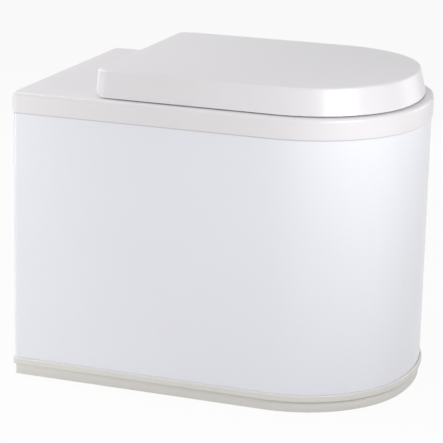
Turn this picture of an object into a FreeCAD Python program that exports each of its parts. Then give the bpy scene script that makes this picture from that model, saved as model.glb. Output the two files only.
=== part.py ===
import FreeCAD, Part
import math
import os

# Freezing toilet. Sizes are in millimetres. The nose faces -Y, the floor is Z = 0,
# and the middle of the footprint is X = Y = 0.

# Cabinet
WIDTH = 446.0              # across the lip of the base tray
DEPTH = 650.0              # from the rear of that lip to its nose
NOSE_FRONT_RADIUS = 324.25  # flatter arc across the front of the nose
NOSE_SIDE_RADIUS = 198.0   # where the nose runs into the sides
REAR_CORNER = 10.0         # plan radius of the rear corners of the lip
SHEET = 0.8                # steel of the wrap, the bulkhead and the rear panel
SHEET_INSET = 3.4          # outer face of the wrap, inside the lip
SHEET_FIT = 0.5            # room beside the edges of the wrap in their grooves
FIT = 0.3                  # room between pieces that lie against each other
RUNNING_FIT = 0.06         # radial room of a pin in its bore
REST_GAP = 0.2             # room under a moving piece where it rests

# Base tray
FOOT_GAP = 1.0             # lower edge of the plinth above the floor
PLINTH_TOP = 19.0          # underside of the lip
PLINTH_INSET = 5.0
LIP_HEIGHT = 12.0
LIP_ROUND = 2.6
GROOVE_DEPTH = 8.0         # how deep the wrap stands in the lip
CURB_WALL = 3.0            # wall inside the groove
TRAY_WALL = 3.5
TRAY_FLOOR = 4.0
TRAY_RIB = 2.5
TRAY_RIB_PITCH = 85.0
PAD_RADIUS = 15.0
PAD_RECESS = 2.0
PAD_BOSS_WALL = 3.0
PAD_BEVEL = 0.8
PAD_INSET = 47.0           # centres of the pads, inside the lip's outline
PAD_NOSE_ANGLE = 45.0      # degrees round the nose from its tip
VENT_WIDTH = 7.0           # air slots in the floor under the machine space
VENT_LENGTH = 46.0
VENT_PITCH = 16.0
VENT_COUNT = 7

# Top deck
DECK_TOP = 490.0
DECK_RIM = 34.0            # height of the rim
DECK_INSET = 1.3
DECK_WALL = 4.0
DECK_EDGE_ROUND = 6.0
DECK_REBATE = 6.0          # step inside the rim that takes the top of the wrap
OPENING_RADIUS = 162.0
OPENING_ROUND = 2.5
COLLAR_WALL = 3.0
COLLAR_DEPTH = 47.5        # collar below the plate of the deck
DECK_RIB = 2.5
DECK_RIB_DROP = 14.0
DECK_RIB_ASIDE = 36.0      # ribs beside each hinge post
DECK_BOSS_DROP = 8.0       # bosses that the bulkhead is screwed to

# Cold box
TUB_Y = -95.0              # axis of the tub, the container and the deck's opening
TUB_RADIUS = 150.0         # inside
TUB_WALL = 1.5
TUB_FLOOR = 84.0           # height of the tub's floor
TUB_FLANGE_MARGIN = 9.0    # flange outside the deck's collar
TUB_CORNER = 22.0
GASKET_HEIGHT = 2.5
GASKET_WIDTH = 9.0
COIL_TUBE_RADIUS = 4.0
COIL_TURNS = 6
COIL_PITCH = 46.0
COIL_START = 104.0         # height of the lowest turn at the rear
COIL_TAIL_BEND = 20.0
BULKHEAD_Y = 112.0         # front face of the bulkhead
BULKHEAD_FLANGE = 16.0
PIPE_CHANNEL_ROOM = 8.0    # room round the pipes in the foam
FOAM_CORNER = 2.0

# Container
CONTAINER_RADIUS = 138.0   # outside, under the rim
CONTAINER_FOOT_RADIUS = 124.0
CONTAINER_HEIGHT = 378.0
CONTAINER_WALL = 2.5
CONTAINER_CORNER = 18.0
RIM_WIDTH = 8.0
RIM_DROP = 9.0

# Lid and seat
LID_INSET = 15.0           # lid's outline inside the lip's
LID_SETBACK = 140.0        # deck left free behind the lid
LID_GAP = 1.5              # dark gap under the lid's edge
LID_WALL = 4.0
LID_LEAN = 11.0            # how far the lid's sides and nose lean in
LID_EDGE_ROUND = 5.0
LID_CORNER = 22.0
LID_HEEL_ROUND = 20.0      # lower rear edge, rounded to clear the deck as it swings
LID_FOAM = 11.0
LID_LINER = 2.0
LID_LINER_MARGIN = 5.0     # liner inside the lid's wall
LID_LINER_RIM = 5.0
LID_LINER_REAR = 38.0      # liner's rear edge ahead of the hinge axis
LID_BUFFER_RADIUS = 7.0
LID_BUFFER_HEIGHT = 4.5    # room between the seat and the liner
SEAT_GAP = 4.5
SEAT_HEIGHT = 19.0
SEAT_CLEAR = 12.0          # between the seat and the lid's wall
SEAT_WALL = 3.5
SEAT_ROUND = 8.0
SEAT_CORNER = 40.0
SEAT_REAR = 23.0           # seat's rear edge ahead of the hinge axis
HOLE_HALF_WIDTH = 110.0
HOLE_HALF_LENGTH = 131.0
HOLE_END_RADIUS = 96.0
SEAT_BUFFER_RADIUS = 8.0
SEAT_BUFFER_SEAT = 3.0     # depth of a buffer in its boss
SEAT_BUFFER_ANGLE = 50.0   # degrees from the middle line, round the opening
BUFFER_BOSS_WALL = 2.5

# Hinge of the seat and the lid
HINGE_X = 90.0
HINGE_SETIN = 12.0         # axis ahead of the lid's rear face
HINGE_RISE = 17.0          # axis above the deck
PIN_RADIUS = 4.0
PIN_HEAD_RADIUS = 6.0
PIN_HEAD = 2.0
BARREL_RADIUS = 7.5
POST_WIDTH = 24.0
POST_TOE = 5.0             # how far the foot of a post runs ahead of its barrel
LUG_WIDTH = 11.0
LUG_GAP = 1.0
NOTCH_FIT = 2.0
NOTCH_RISE = 5.0           # top of the lid's notches above the barrels
STUD_RADIUS = 4.0
STUD_BITE = 7.0            # depth of a stud in its post
NUT_FLATS = 13.0
NUT_HEIGHT = 6.5
WASHER_RADIUS = 9.0
WASHER = 1.6

# Rear panel and its controls
WRAP_FLANGE = 22.0
PANEL_SIDE = 6.0           # panel's side edges, inside the wrap
PANEL_GAP = 1.5            # between the panel and the lip or the rim
PANEL_CORNER = 6.0
LOUVRE_OPEN = 7.0
LOUVRE_SKIN = 0.8
LOUVRE_PITCH = 21.0
LOUVRE_LENGTH = 104.0
LOUVRE_COLUMNS = 3
LOUVRE_COLUMN_PITCH = 122.0
LOUVRE_MARGIN = 26.0
SCREW_RADIUS = 1.8
SCREW_HEAD_RADIUS = 4.2
SCREW_HEAD = 1.4
SCREW_LENGTH = 9.0
SCREW_SLOT = 1.0           # cross recess: width of its arms
SCREW_SLOT_LENGTH = 4.8
SCREW_SLOT_DEPTH = 0.9
SCREW_ROWS = 5
WELL_SETIN = 91.6          # middle of the well inside the panel's side edge
WELL_WIDTH = 104.0
WELL_HEIGHT = 136.0
WELL_DEPTH = 30.0
WELL_WALL = 2.0
WELL_FLANGE = 6.0
WELL_CORNER = 10.0
WELL_TOP_MARGIN = 26.0     # well's flange below the panel's top edge
KNOB_RADIUS = 17.0
KNOB_HEIGHT = 15.0
KNOB_SKIRT = 4.0
KNOB_GRIP = 8.0            # width of the bar that the fingers turn
KNOB_RISE = 32.0           # knob above the middle of the well
SHAFT_RADIUS = 3.0
THERMOSTAT_WIDTH = 34.0
THERMOSTAT_HEIGHT = 30.0
THERMOSTAT_DEPTH = 26.0
FEELER_RADIUS = 1.0
BULB_RADIUS = 3.0
BULB_LENGTH = 18.0
SWITCH_X = 24.0            # switch and lamp, each side of the well's middle
SWITCH_DROP = 14.0
SWITCH_WIDTH = 22.0
SWITCH_HEIGHT = 31.0
SWITCH_BEZEL = 2.0
SWITCH_DEPTH = 18.0
SWITCH_WALL = 2.0
ROCKER_FIT = 0.4
ROCKER_TILT = 8.0          # degrees each side of the middle
ROCKER_RISE = 5.0
ROCKER_DISH = 1.8
ROCKER_PIVOT_RADIUS = 1.5
LAMP_RADIUS = 4.5
LAMP_BEZEL_RADIUS = 6.3
GLAND_DROP = 46.0
GLAND_RADIUS = 8.0
GLAND_BORE = 4.2
GLAND_COLLAR_RADIUS = 12.0
GLAND_MOUTH_RADIUS = 6.4
GLAND_NUT = 4.0
GLAND_REACH = 16.0

# Refrigeration unit
COMPRESSOR_X = -75.0
COMPRESSOR_GAP = 2.2       # between the bulkhead's flange and the compressor's bosses
COMPRESSOR_HALF_WIDTH = 92.0
COMPRESSOR_HALF_DEPTH = 52.0
COMPRESSOR_END_RADIUS = 42.0
COMPRESSOR_LOWER = 78.0    # height of the lower shell
COMPRESSOR_UPPER = 84.0
COMPRESSOR_WALL = 5.0
COMPRESSOR_SEAM = 2.0      # weld seam standing out round the shells
COMPRESSOR_SEAM_HEIGHT = 9.0
COMPRESSOR_LOWER_ROUND = 26.0
COMPRESSOR_UPPER_ROUND = 34.0
MOUNT_HALF_X = 80.0
MOUNT_HALF_Y = 42.0
MOUNT_BOSS = 6.0
MOUNT_BOSS_RADIUS = 11.0
GROMMET_RADIUS = 10.0
GROMMET_NECK = 7.0
GROMMET_BORE = 3.6
GROMMET_LOWER = 9.0
GROMMET_UPPER = 5.0
FOOT_PLATE = 3.0
FOOT_PLATE_MARGIN = 13.0
BOLT_RADIUS = 3.0
BOLT_HEAD_FLATS = 10.0
BOLT_HEAD = 4.0
BOLT_WASHER_RADIUS = 8.0
BOLT_WASHER = 1.2
RELAY_WIDTH = 58.0
RELAY_HEIGHT = 46.0
RELAY_DEPTH = 20.0
RELAY_ROUND = 2.0
CONDENSER_LEFT = -190.0
CONDENSER_RIGHT = 54.0
CONDENSER_BACK = 26.0      # middle of the condenser ahead of the rear panel
CONDENSER_BOTTOM = 100.0
CONDENSER_RUNS = 10
CONDENSER_PITCH = 34.0
CONDENSER_TUBE_RADIUS = 2.5
CONDENSER_TAIL = 22.0
WIRE_RADIUS = 0.9
WIRE_COUNT = 12
WIRE_OVERHANG = 8.0
CLIP_RADIUS = 6.0
LINE_RADIUS = 3.0
CAPILLARY_RADIUS = 1.5
LINE_BEND = 11.0
JOINT_GAP = 0.1            # brazed joint between two tubes
DRIER_RADIUS = 9.0
DRIER_LENGTH = 62.0
DRIER_TAPER = 9.0
DISCHARGE_RISE = 22.0      # discharge stub above the weld seam
SUCTION_DROP = 36.0        # suction stub below the weld seam
SUCTION_LANE = 20.0        # clear of the cabinet's side

# Places that follow from the sizes above
HALF_WIDTH = WIDTH / 2
REAR_Y = DEPTH / 2
NOSE_SIDE_X = HALF_WIDTH - NOSE_SIDE_RADIUS
NOSE_FRONT_BACK = math.sqrt((NOSE_FRONT_RADIUS - NOSE_SIDE_RADIUS) ** 2 - NOSE_SIDE_X ** 2)
NOSE_LENGTH = NOSE_FRONT_RADIUS - NOSE_FRONT_BACK
NOSE_Y = NOSE_LENGTH - REAR_Y
LIP_TOP = PLINTH_TOP + LIP_HEIGHT
SHEET_BOTTOM = LIP_TOP - GROOVE_DEPTH
GROOVE_OUTER = SHEET_INSET - SHEET_FIT
GROOVE_INNER = SHEET_INSET + SHEET + SHEET_FIT
CURB_INNER = GROOVE_INNER + CURB_WALL
TRAY_TOP = PLINTH_TOP + TRAY_FLOOR
SHEET_INNER = SHEET_INSET + SHEET
DECK_BOTTOM = DECK_TOP - DECK_RIM
DECK_UNDER = DECK_TOP - DECK_WALL
SHEET_TOP = DECK_BOTTOM + DECK_REBATE - SHEET_FIT
COLLAR_BOTTOM = DECK_UNDER - COLLAR_DEPTH
TUB_FLANGE_TOP = COLLAR_BOTTOM - GASKET_HEIGHT
COLLAR_RADIUS = OPENING_RADIUS + COLLAR_WALL
TUB_OUTER = TUB_RADIUS + TUB_WALL
TUB_FLANGE_RADIUS = COLLAR_RADIUS + TUB_FLANGE_MARGIN
COIL_RADIUS = TUB_OUTER + FIT + COIL_TUBE_RADIUS
COIL_TOP = COIL_START + COIL_TURNS * COIL_PITCH
BULKHEAD_TOP = DECK_UNDER - DECK_BOSS_DROP
BULKHEAD_BACK = BULKHEAD_Y + SHEET
PIPE_END_Y = BULKHEAD_BACK + COIL_TAIL_BEND
LID_BOTTOM = DECK_TOP + LID_GAP
LID_REAR_Y = REAR_Y - LID_SETBACK
HINGE_Y = LID_REAR_Y - HINGE_SETIN
HINGE_Z = DECK_TOP + HINGE_RISE
SEAT_BOTTOM = DECK_TOP + SEAT_GAP
SEAT_TOP = SEAT_BOTTOM + SEAT_HEIGHT
LINER_UNDER = SEAT_TOP + LID_BUFFER_HEIGHT
LID_UNDER = LINER_UNDER + LID_LINER + LID_FOAM
LID_TOP = LID_UNDER + LID_WALL
SEAT_INSET = LID_INSET + LID_WALL + SEAT_CLEAR
SEAT_REAR_Y = HINGE_Y - SEAT_REAR
PANEL_Y = REAR_Y - SHEET_INSET
PANEL_BOTTOM = LIP_TOP + PANEL_GAP
PANEL_TOP = DECK_BOTTOM - PANEL_GAP
PANEL_HALF = HALF_WIDTH - SHEET_INSET - PANEL_SIDE
WELL_X = PANEL_HALF - WELL_SETIN
WELL_Z = PANEL_TOP - WELL_TOP_MARGIN - WELL_HEIGHT / 2
WELL_FLOOR_Y = PANEL_Y + SHEET - WELL_DEPTH
KNOB_Z = WELL_Z + KNOB_RISE
COMPRESSOR_Y = BULKHEAD_BACK + BULKHEAD_FLANGE + COMPRESSOR_GAP + MOUNT_BOSS_RADIUS + MOUNT_HALF_Y
MOUNT_TOP = TRAY_TOP + MOUNT_BOSS
PLATE_BOTTOM = MOUNT_TOP + GROMMET_LOWER
SHELL_BOTTOM = PLATE_BOTTOM + FOOT_PLATE
SEAM_Z = SHELL_BOTTOM + COMPRESSOR_LOWER
CONDENSER_Y = PANEL_Y - CONDENSER_BACK
CONDENSER_TOP = CONDENSER_BOTTOM + (CONDENSER_RUNS - 1) * CONDENSER_PITCH

SAME_PLACE = 1e-3          # points closer than this count as one
UP = FreeCAD.Vector(0, 0, 1)
ALONG_X = FreeCAD.Vector(1, 0, 0)
ALONG_Y = FreeCAD.Vector(0, 1, 0)


def point(x, y, z):
    return FreeCAD.Vector(x, y, z)


def line(a, b):
    return Part.LineSegment(a, b).toShape()


def arc(a, middle, b):
    return Part.Arc(a, middle, b).toShape()


def polygon(points):
    """Flat face through the given corners."""
    return Part.Face(Part.makePolygon(points + [points[0]]))


def edges_at_height(shape, z):
    """Edges that lie wholly at one height."""
    return [edge for edge in shape.Edges if abs(edge.BoundBox.ZMin - z) + edge.BoundBox.ZLength < SAME_PLACE]


def d_face(inset, z, rear=None, corner=None):
    """D-shaped face: nose of three tangent arcs, straight sides and a straight rear with rounded corners."""
    half = HALF_WIDTH - inset
    rear = REAR_Y - inset if rear is None else rear
    corner = max(REAR_CORNER - inset, 0.5) if corner is None else corner
    slant = corner * (1 - math.sqrt(0.5))
    side_end = rear - corner
    heel = half - corner
    side_radius = NOSE_SIDE_RADIUS - inset
    front_y = NOSE_Y - NOSE_LENGTH + inset
    meet = math.atan2(NOSE_FRONT_BACK, NOSE_SIDE_X)
    meet_x = NOSE_SIDE_X + side_radius * math.cos(meet)
    meet_y = NOSE_Y - side_radius * math.sin(meet)
    bow_x = NOSE_SIDE_X + side_radius * math.cos(meet / 2)
    bow_y = NOSE_Y - side_radius * math.sin(meet / 2)
    edges = [
        arc(point(-half, NOSE_Y, z), point(-bow_x, bow_y, z), point(-meet_x, meet_y, z)),
        arc(point(-meet_x, meet_y, z), point(0, front_y, z), point(meet_x, meet_y, z)),
        arc(point(meet_x, meet_y, z), point(bow_x, bow_y, z), point(half, NOSE_Y, z)),
        line(point(half, NOSE_Y, z), point(half, side_end, z)),
        arc(point(half, side_end, z), point(half - slant, rear - slant, z), point(heel, rear, z)),
        line(point(heel, rear, z), point(-heel, rear, z)),
        arc(point(-heel, rear, z), point(slant - half, rear - slant, z), point(-half, side_end, z)),
        line(point(-half, side_end, z), point(-half, NOSE_Y, z)),
    ]
    return Part.Face(Part.Wire(edges))


def d_block(inset, bottom, top, rear=None, corner=None):
    return d_face(inset, bottom, rear, corner).extrude(UP * (top - bottom))


def cylinder(radius, x, y, bottom, top):
    return Part.makeCylinder(radius, top - bottom, point(x, y, bottom), UP)


def cylinders(radius, places, bottom, top):
    """The same upright cylinder at each (x, y) place."""
    return [cylinder(radius, x, y, bottom, top) for x, y in places]


def rod_y(radius, x, z, front, back):
    return Part.makeCylinder(radius, back - front, point(x, front, z), ALONG_Y)


def rod_x(radius, y, z, left, right):
    return Part.makeCylinder(radius, right - left, point(left, y, z), ALONG_X)


def box(x0, x1, y0, y1, z0, z1):
    return Part.makeBox(x1 - x0, y1 - y0, z1 - z0, point(x0, y0, z0))


def hexagon(flats, x, y, bottom, top):
    radius = flats / math.sqrt(3)
    turns = [math.radians(60 * i) for i in range(6)]
    corners = [point(x + radius * math.cos(turn), y + radius * math.sin(turn), bottom) for turn in turns]
    return polygon(corners).extrude(UP * (top - bottom))


def oval_block(middle, long_axis, half_long, half_short, end_radius, height):
    """Upright block whose outline is an oval of four tangent arcs."""
    short_axis = UP.cross(long_axis)
    end_centre = half_long - end_radius
    side_radius = (half_short ** 2 + end_centre ** 2 - end_radius ** 2) / (2 * (half_short - end_radius))
    share = end_radius / (side_radius - end_radius)
    meet_long = end_centre * (1 + share)
    meet_short = (side_radius - half_short) * share

    def place(along, across):
        return middle + long_axis * along + short_axis * across

    edges = [
        arc(place(meet_long, -meet_short), place(half_long, 0), place(meet_long, meet_short)),
        arc(place(meet_long, meet_short), place(0, half_short), place(-meet_long, meet_short)),
        arc(place(-meet_long, meet_short), place(-half_long, 0), place(-meet_long, -meet_short)),
        arc(place(-meet_long, -meet_short), place(0, -half_short), place(meet_long, -meet_short)),
    ]
    return Part.Face(Part.Wire(edges)).extrude(UP * height)


def plate_xz(x, z, width, height, corner, front, back):
    """Upright plate with rounded corners, from its front to its back along Y."""
    block = box(x - width / 2, x + width / 2, front, back, z - height / 2, z + height / 2)
    upright = [edge for edge in block.Edges if edge.BoundBox.YLength > (back - front) / 2]
    return block.makeFillet(corner, upright)


def revolve_z(profile, x, y):
    """Solid of revolution about an upright axis, from (radius, height) corners."""
    face = polygon([point(x + radius, y, z) for radius, z in profile])
    return face.revolve(point(x, y, 0), UP, 360)


def revolve_y(profile, x, z):
    """Solid of revolution about an axis along Y, from (radius, y) corners."""
    face = polygon([point(x + radius, y, z) for radius, y in profile])
    return face.revolve(point(x, 0, z), ALONG_Y, 360)


def bent_edges(points, bend):
    """Straight runs joined by tangent arcs of one bend radius."""
    edges = []
    start = points[0]
    for before, corner, after in zip(points, points[1:], points[2:]):
        back = (before - corner).normalize()
        ahead = (after - corner).normalize()
        turn = math.pi - back.getAngle(ahead)
        tangent = bend * math.tan(turn / 2)
        bisector = (back + ahead).normalize()
        entry = corner + back * tangent
        middle = corner + bisector * (bend / math.cos(turn / 2) - bend)
        leave = corner + ahead * tangent
        if (entry - start).Length > SAME_PLACE:
            edges.append(line(start, entry))
        edges.append(arc(entry, middle, leave))
        start = leave
    edges.append(line(start, points[-1]))
    return edges


def round_bar(edges, radius):
    """Round bar along lines and arcs that follow on from each other, with flat ends."""
    faces = []
    for edge in edges:
        start = edge.valueAt(edge.FirstParameter)
        ring = Part.makeCircle(radius, start, edge.tangentAt(edge.FirstParameter))
        if isinstance(edge.Curve, Part.Line):
            faces.append(ring.extrude(edge.valueAt(edge.LastParameter) - start))
        else:
            turn = math.degrees(edge.LastParameter - edge.FirstParameter)
            faces.append(ring.revolve(edge.Curve.Center, edge.Curve.Axis, turn))
    for edge, place in ((edges[0], edges[0].FirstParameter), (edges[-1], edges[-1].LastParameter)):
        ring = Part.makeCircle(radius, edge.valueAt(place), edge.tangentAt(place))
        faces.append(Part.Face(Part.Wire(ring)))
    skin = Part.Shell(faces)
    skin.sewShape()
    bar = Part.Solid(skin)
    if bar.Volume < 0:
        bar.reverse()
    return bar


def tube(points, radius, bend):
    return round_bar(bent_edges(points, bend), radius)


def arc_from(start, heading, end):
    """Arc that leaves start along heading and arrives at end."""
    chord = end - start
    along = point(chord.x, chord.y, chord.z).normalize()
    aside = heading - along * heading.dot(along)
    half_turn = heading.getAngle(along)
    sagitta = chord.Length / 2 * math.tan(half_turn / 2)
    return arc(start, (start + end) * 0.5 + aside.normalize() * sagitta, end)


def biarc(start, heading, end, arrival):
    """Two tangent arcs from one point and heading to another."""
    chord = end - start
    both = heading + arrival
    spread = 2 * (1 - heading.dot(arrival))
    reach = chord.dot(both)
    handle = (math.sqrt(reach * reach + spread * chord.dot(chord)) - reach) / spread
    middle = (start + heading * handle + end - arrival * handle) * 0.5
    first = arc_from(start, heading, middle)
    second = arc_from(middle, first.tangentAt(first.LastParameter), end)
    return [first, second]


def mirrored(shape):
    return shape.mirror(point(0, 0, 0), ALONG_X)


def both_sides(shape):
    return Part.makeCompound([shape, mirrored(shape)])


def machine_screw(place, heading, length):
    """Cross-recessed head, its underside at place, on a plain shank that runs along heading."""
    crown = SCREW_HEAD_RADIUS / 2
    profile = [(0, -length), (SCREW_RADIUS, -length), (SCREW_RADIUS, 0), (SCREW_HEAD_RADIUS, 0),
               (SCREW_HEAD_RADIUS, SCREW_HEAD / 2), (crown, SCREW_HEAD), (0, SCREW_HEAD)]
    screw = revolve_z(profile, 0, 0)
    arm = SCREW_SLOT_LENGTH / 2
    half = SCREW_SLOT / 2
    floor = SCREW_HEAD - SCREW_SLOT_DEPTH
    across = box(-arm, arm, -half, half, floor, SCREW_HEAD)
    screw = screw.cut([across, box(-half, half, -arm, arm, floor, SCREW_HEAD)])
    turn = FreeCAD.Rotation(UP, heading * -1)
    screw.Placement = FreeCAD.Placement(place, turn)
    return screw


def pad_places():
    """Two pads near the rear corners and two beside the nose."""
    reach = HALF_WIDTH - PAD_INSET
    rear_y = REAR_Y - PAD_INSET
    nose_x = reach * math.sin(math.radians(PAD_NOSE_ANGLE))
    nose_y = NOSE_Y - reach * math.cos(math.radians(PAD_NOSE_ANGLE))
    return [(reach, rear_y), (-reach, rear_y), (nose_x, nose_y), (-nose_x, nose_y)]


def mount_places():
    xs = (COMPRESSOR_X - MOUNT_HALF_X, COMPRESSOR_X + MOUNT_HALF_X)
    ys = (COMPRESSOR_Y - MOUNT_HALF_Y, COMPRESSOR_Y + MOUNT_HALF_Y)
    return [(x, y) for x in xs for y in ys]


def bulkhead_screw_places():
    x_outer = HALF_WIDTH - CURB_INNER - 2 * BULKHEAD_FLANGE
    y = BULKHEAD_BACK + BULKHEAD_FLANGE / 2
    return [(-x_outer, y), (-x_outer / 3, y), (x_outer / 3, y), (x_outer, y)]


def panel_screw_places():
    x = PANEL_HALF - (WRAP_FLANGE - PANEL_SIDE) / 2
    low = PANEL_BOTTOM + LOUVRE_MARGIN / 2
    high = PANEL_TOP - LOUVRE_MARGIN / 2
    step = (high - low) / (SCREW_ROWS - 1)
    return [(side * x, low + row * step) for side in (-1, 1) for row in range(SCREW_ROWS)]


def make_base_tray():
    """Plinth, standing lip with the groove for the wrap, floor, ribs and bosses."""
    plinth = d_block(PLINTH_INSET, FOOT_GAP, PLINTH_TOP + LIP_ROUND)
    lip = d_block(0, PLINTH_TOP, LIP_TOP)
    lip = lip.makeFillet(LIP_ROUND, edges_at_height(lip, LIP_TOP) + edges_at_height(lip, PLINTH_TOP))
    groove = d_block(GROOVE_OUTER, SHEET_BOTTOM, LIP_TOP).cut(d_block(GROOVE_INNER, SHEET_BOTTOM, LIP_TOP))
    inside = d_block(CURB_INNER, TRAY_TOP, LIP_TOP)
    under = d_block(PLINTH_INSET + TRAY_WALL, FOOT_GAP, PLINTH_TOP)
    tray = plinth.fuse(lip).cut([groove, inside, under])
    ribs = []
    half = TRAY_RIB / 2
    count = int(HALF_WIDTH / TRAY_RIB_PITCH)
    for x in [i * TRAY_RIB_PITCH for i in range(-count, count + 1)]:
        ribs.append(box(x - half, x + half, -REAR_Y, REAR_Y, FOOT_GAP, PLINTH_TOP).common(under))
    count = int(REAR_Y / TRAY_RIB_PITCH)
    for y in [i * TRAY_RIB_PITCH for i in range(-count, count + 1)]:
        ribs.append(box(-HALF_WIDTH, HALF_WIDTH, y - half, y + half, FOOT_GAP, PLINTH_TOP).common(under))
    bosses = cylinders(PAD_RADIUS + PAD_BOSS_WALL, pad_places(), FOOT_GAP, PLINTH_TOP)
    bosses += cylinders(MOUNT_BOSS_RADIUS, mount_places(), TRAY_TOP, MOUNT_TOP)
    bosses += cylinders(BOLT_RADIUS + CURB_WALL, mount_places(), FOOT_GAP, PLINTH_TOP)
    bosses += cylinders(SCREW_RADIUS + CURB_WALL, bulkhead_screw_places(), FOOT_GAP, PLINTH_TOP)
    holes = cylinders(PAD_RADIUS + FIT, pad_places(), FOOT_GAP, FOOT_GAP + PAD_RECESS)
    holes += cylinders(BOLT_RADIUS + RUNNING_FIT, mount_places(), FOOT_GAP, MOUNT_TOP)
    holes += cylinders(SCREW_RADIUS + RUNNING_FIT, bulkhead_screw_places(), FOOT_GAP, TRAY_TOP)
    first = COMPRESSOR_X + COMPRESSOR_HALF_WIDTH + FOOT_PLATE_MARGIN + GROMMET_RADIUS
    for i in range(VENT_COUNT):
        x = first + i * VENT_PITCH
        holes.append(box(x, x + VENT_WIDTH, COMPRESSOR_Y, COMPRESSOR_Y + VENT_LENGTH, PLINTH_TOP, TRAY_TOP))
    return tray.fuse(ribs + bosses).cut(holes).removeSplitter()


def make_foot_pads():
    blanks = cylinders(PAD_RADIUS, pad_places(), 0, FOOT_GAP + PAD_RECESS)
    return Part.makeCompound([blank.makeChamfer(PAD_BEVEL, edges_at_height(blank, 0)) for blank in blanks])


def make_cabinet_wrap():
    """Sheet round both sides and the nose, folded in at the rear to carry the panel."""
    shell = d_block(SHEET_INSET, SHEET_BOTTOM, SHEET_TOP).cut(d_block(SHEET_INNER, SHEET_BOTTOM, SHEET_TOP))
    gap = HALF_WIDTH - SHEET_INSET - WRAP_FLANGE
    window = box(-gap, gap, PANEL_Y - 2 * REAR_CORNER, REAR_Y, SHEET_BOTTOM, SHEET_TOP)
    bore = SCREW_RADIUS + RUNNING_FIT
    holes = [rod_y(bore, x, z, PANEL_Y - SHEET, PANEL_Y) for x, z in panel_screw_places()]
    return shell.cut([window] + holes)


def louvre_places():
    """Louvres in even columns. Those that would meet the control well are left out."""
    places = []
    rows = int((PANEL_TOP - PANEL_BOTTOM - 2 * LOUVRE_MARGIN) / LOUVRE_PITCH)
    for column in range(LOUVRE_COLUMNS):
        x = (column - (LOUVRE_COLUMNS - 1) / 2) * LOUVRE_COLUMN_PITCH
        for row in range(rows + 1):
            z = PANEL_BOTTOM + LOUVRE_MARGIN + row * LOUVRE_PITCH
            beside = abs(x - WELL_X) > (LOUVRE_LENGTH + WELL_WIDTH) / 2 + WELL_FLANGE
            below = z < WELL_Z - WELL_HEIGHT / 2 - WELL_FLANGE - LOUVRE_PITCH
            if beside or below:
                places.append((x, z))
    return places


def quarter_bar(radius, x, z, length):
    """Quarter-round bar along X, whose flat sides face +Y and +Z."""
    bar = rod_x(radius, PANEL_Y, z, x - length / 2, x + length / 2)
    quarter = box(x - length, x + length, PANEL_Y - 2 * radius, PANEL_Y, z - 2 * radius, z)
    return bar.common(quarter)


def make_rear_panel():
    """Sheet panel with louvres pressed inwards, and a window for the control well."""
    back = PANEL_Y + SHEET
    middle = (PANEL_BOTTOM + PANEL_TOP) / 2
    panel = plate_xz(0, middle, 2 * PANEL_HALF, PANEL_TOP - PANEL_BOTTOM, PANEL_CORNER, PANEL_Y, back)
    half = LOUVRE_LENGTH / 2
    hoods = []
    slots = []
    for x, z in louvre_places():
        hoods.append(quarter_bar(LOUVRE_OPEN + LOUVRE_SKIN, x, z, LOUVRE_LENGTH + 2 * LOUVRE_SKIN))
        slots.append(quarter_bar(LOUVRE_OPEN, x, z, LOUVRE_LENGTH))
        slots.append(box(x - half, x + half, PANEL_Y, back, z - LOUVRE_OPEN, z))
    window = plate_xz(WELL_X, WELL_Z, WELL_WIDTH + 2 * FIT, WELL_HEIGHT + 2 * FIT, WELL_CORNER, PANEL_Y, back)
    bore = SCREW_RADIUS + RUNNING_FIT
    holes = [rod_y(bore, x, z, PANEL_Y, back) for x, z in panel_screw_places()]
    return panel.fuse(hoods).cut(slots + [window] + holes)


def make_panel_screws():
    places = [point(x, PANEL_Y + SHEET, z) for x, z in panel_screw_places()]
    return Part.makeCompound([machine_screw(place, ALONG_Y * -1, SCREW_LENGTH) for place in places])


def make_top_deck():
    """Moulded deck: rolled edge, rebate for the wrap, opening with a deep collar, ribs and bosses."""
    deck = d_block(DECK_INSET, DECK_BOTTOM, DECK_TOP)
    deck = deck.makeFillet(DECK_EDGE_ROUND, edges_at_height(deck, DECK_TOP))
    hollow = d_block(DECK_INSET + DECK_WALL, DECK_BOTTOM, DECK_UNDER)
    rebate = d_block(GROOVE_OUTER, DECK_BOTTOM, DECK_BOTTOM + DECK_REBATE)
    collar = cylinder(COLLAR_RADIUS, 0, TUB_Y, COLLAR_BOTTOM, DECK_UNDER)
    opening = cylinder(OPENING_RADIUS, 0, TUB_Y, COLLAR_BOTTOM, DECK_TOP)
    deck = deck.cut([hollow, rebate]).fuse(collar).cut(opening)
    level = edges_at_height(deck, DECK_TOP)
    deck = deck.makeFillet(OPENING_ROUND, [edge for edge in level if edge.BoundBox.XMax < COLLAR_RADIUS])
    front = BULKHEAD_BACK + BULKHEAD_FLANGE + DECK_RIB
    back = REAR_Y - DECK_INSET - DECK_WALL
    side = HALF_WIDTH - DECK_INSET - DECK_WALL
    rib_bottom = DECK_UNDER - DECK_RIB_DROP
    extras = []
    inner_x = HINGE_X - DECK_RIB_ASIDE
    outer_x = HINGE_X + DECK_RIB_ASIDE
    for x in (-outer_x, -inner_x, inner_x, outer_x):
        extras.append(box(x - DECK_RIB / 2, x + DECK_RIB / 2, front, back, rib_bottom, DECK_UNDER))
    for y in (HINGE_Y - DECK_RIB_ASIDE, HINGE_Y + DECK_RIB_ASIDE):
        extras.append(box(-side, side, y - DECK_RIB / 2, y + DECK_RIB / 2, rib_bottom, DECK_UNDER))
    extras += cylinders(SCREW_RADIUS + CURB_WALL, bulkhead_screw_places(), BULKHEAD_TOP, DECK_UNDER)
    holes = cylinders(SCREW_RADIUS + RUNNING_FIT, bulkhead_screw_places(), BULKHEAD_TOP, DECK_UNDER)
    holes += cylinders(STUD_RADIUS + FIT, ((-HINGE_X, HINGE_Y), (HINGE_X, HINGE_Y)), DECK_UNDER, DECK_TOP)
    return deck.fuse(extras).cut(holes)


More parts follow.
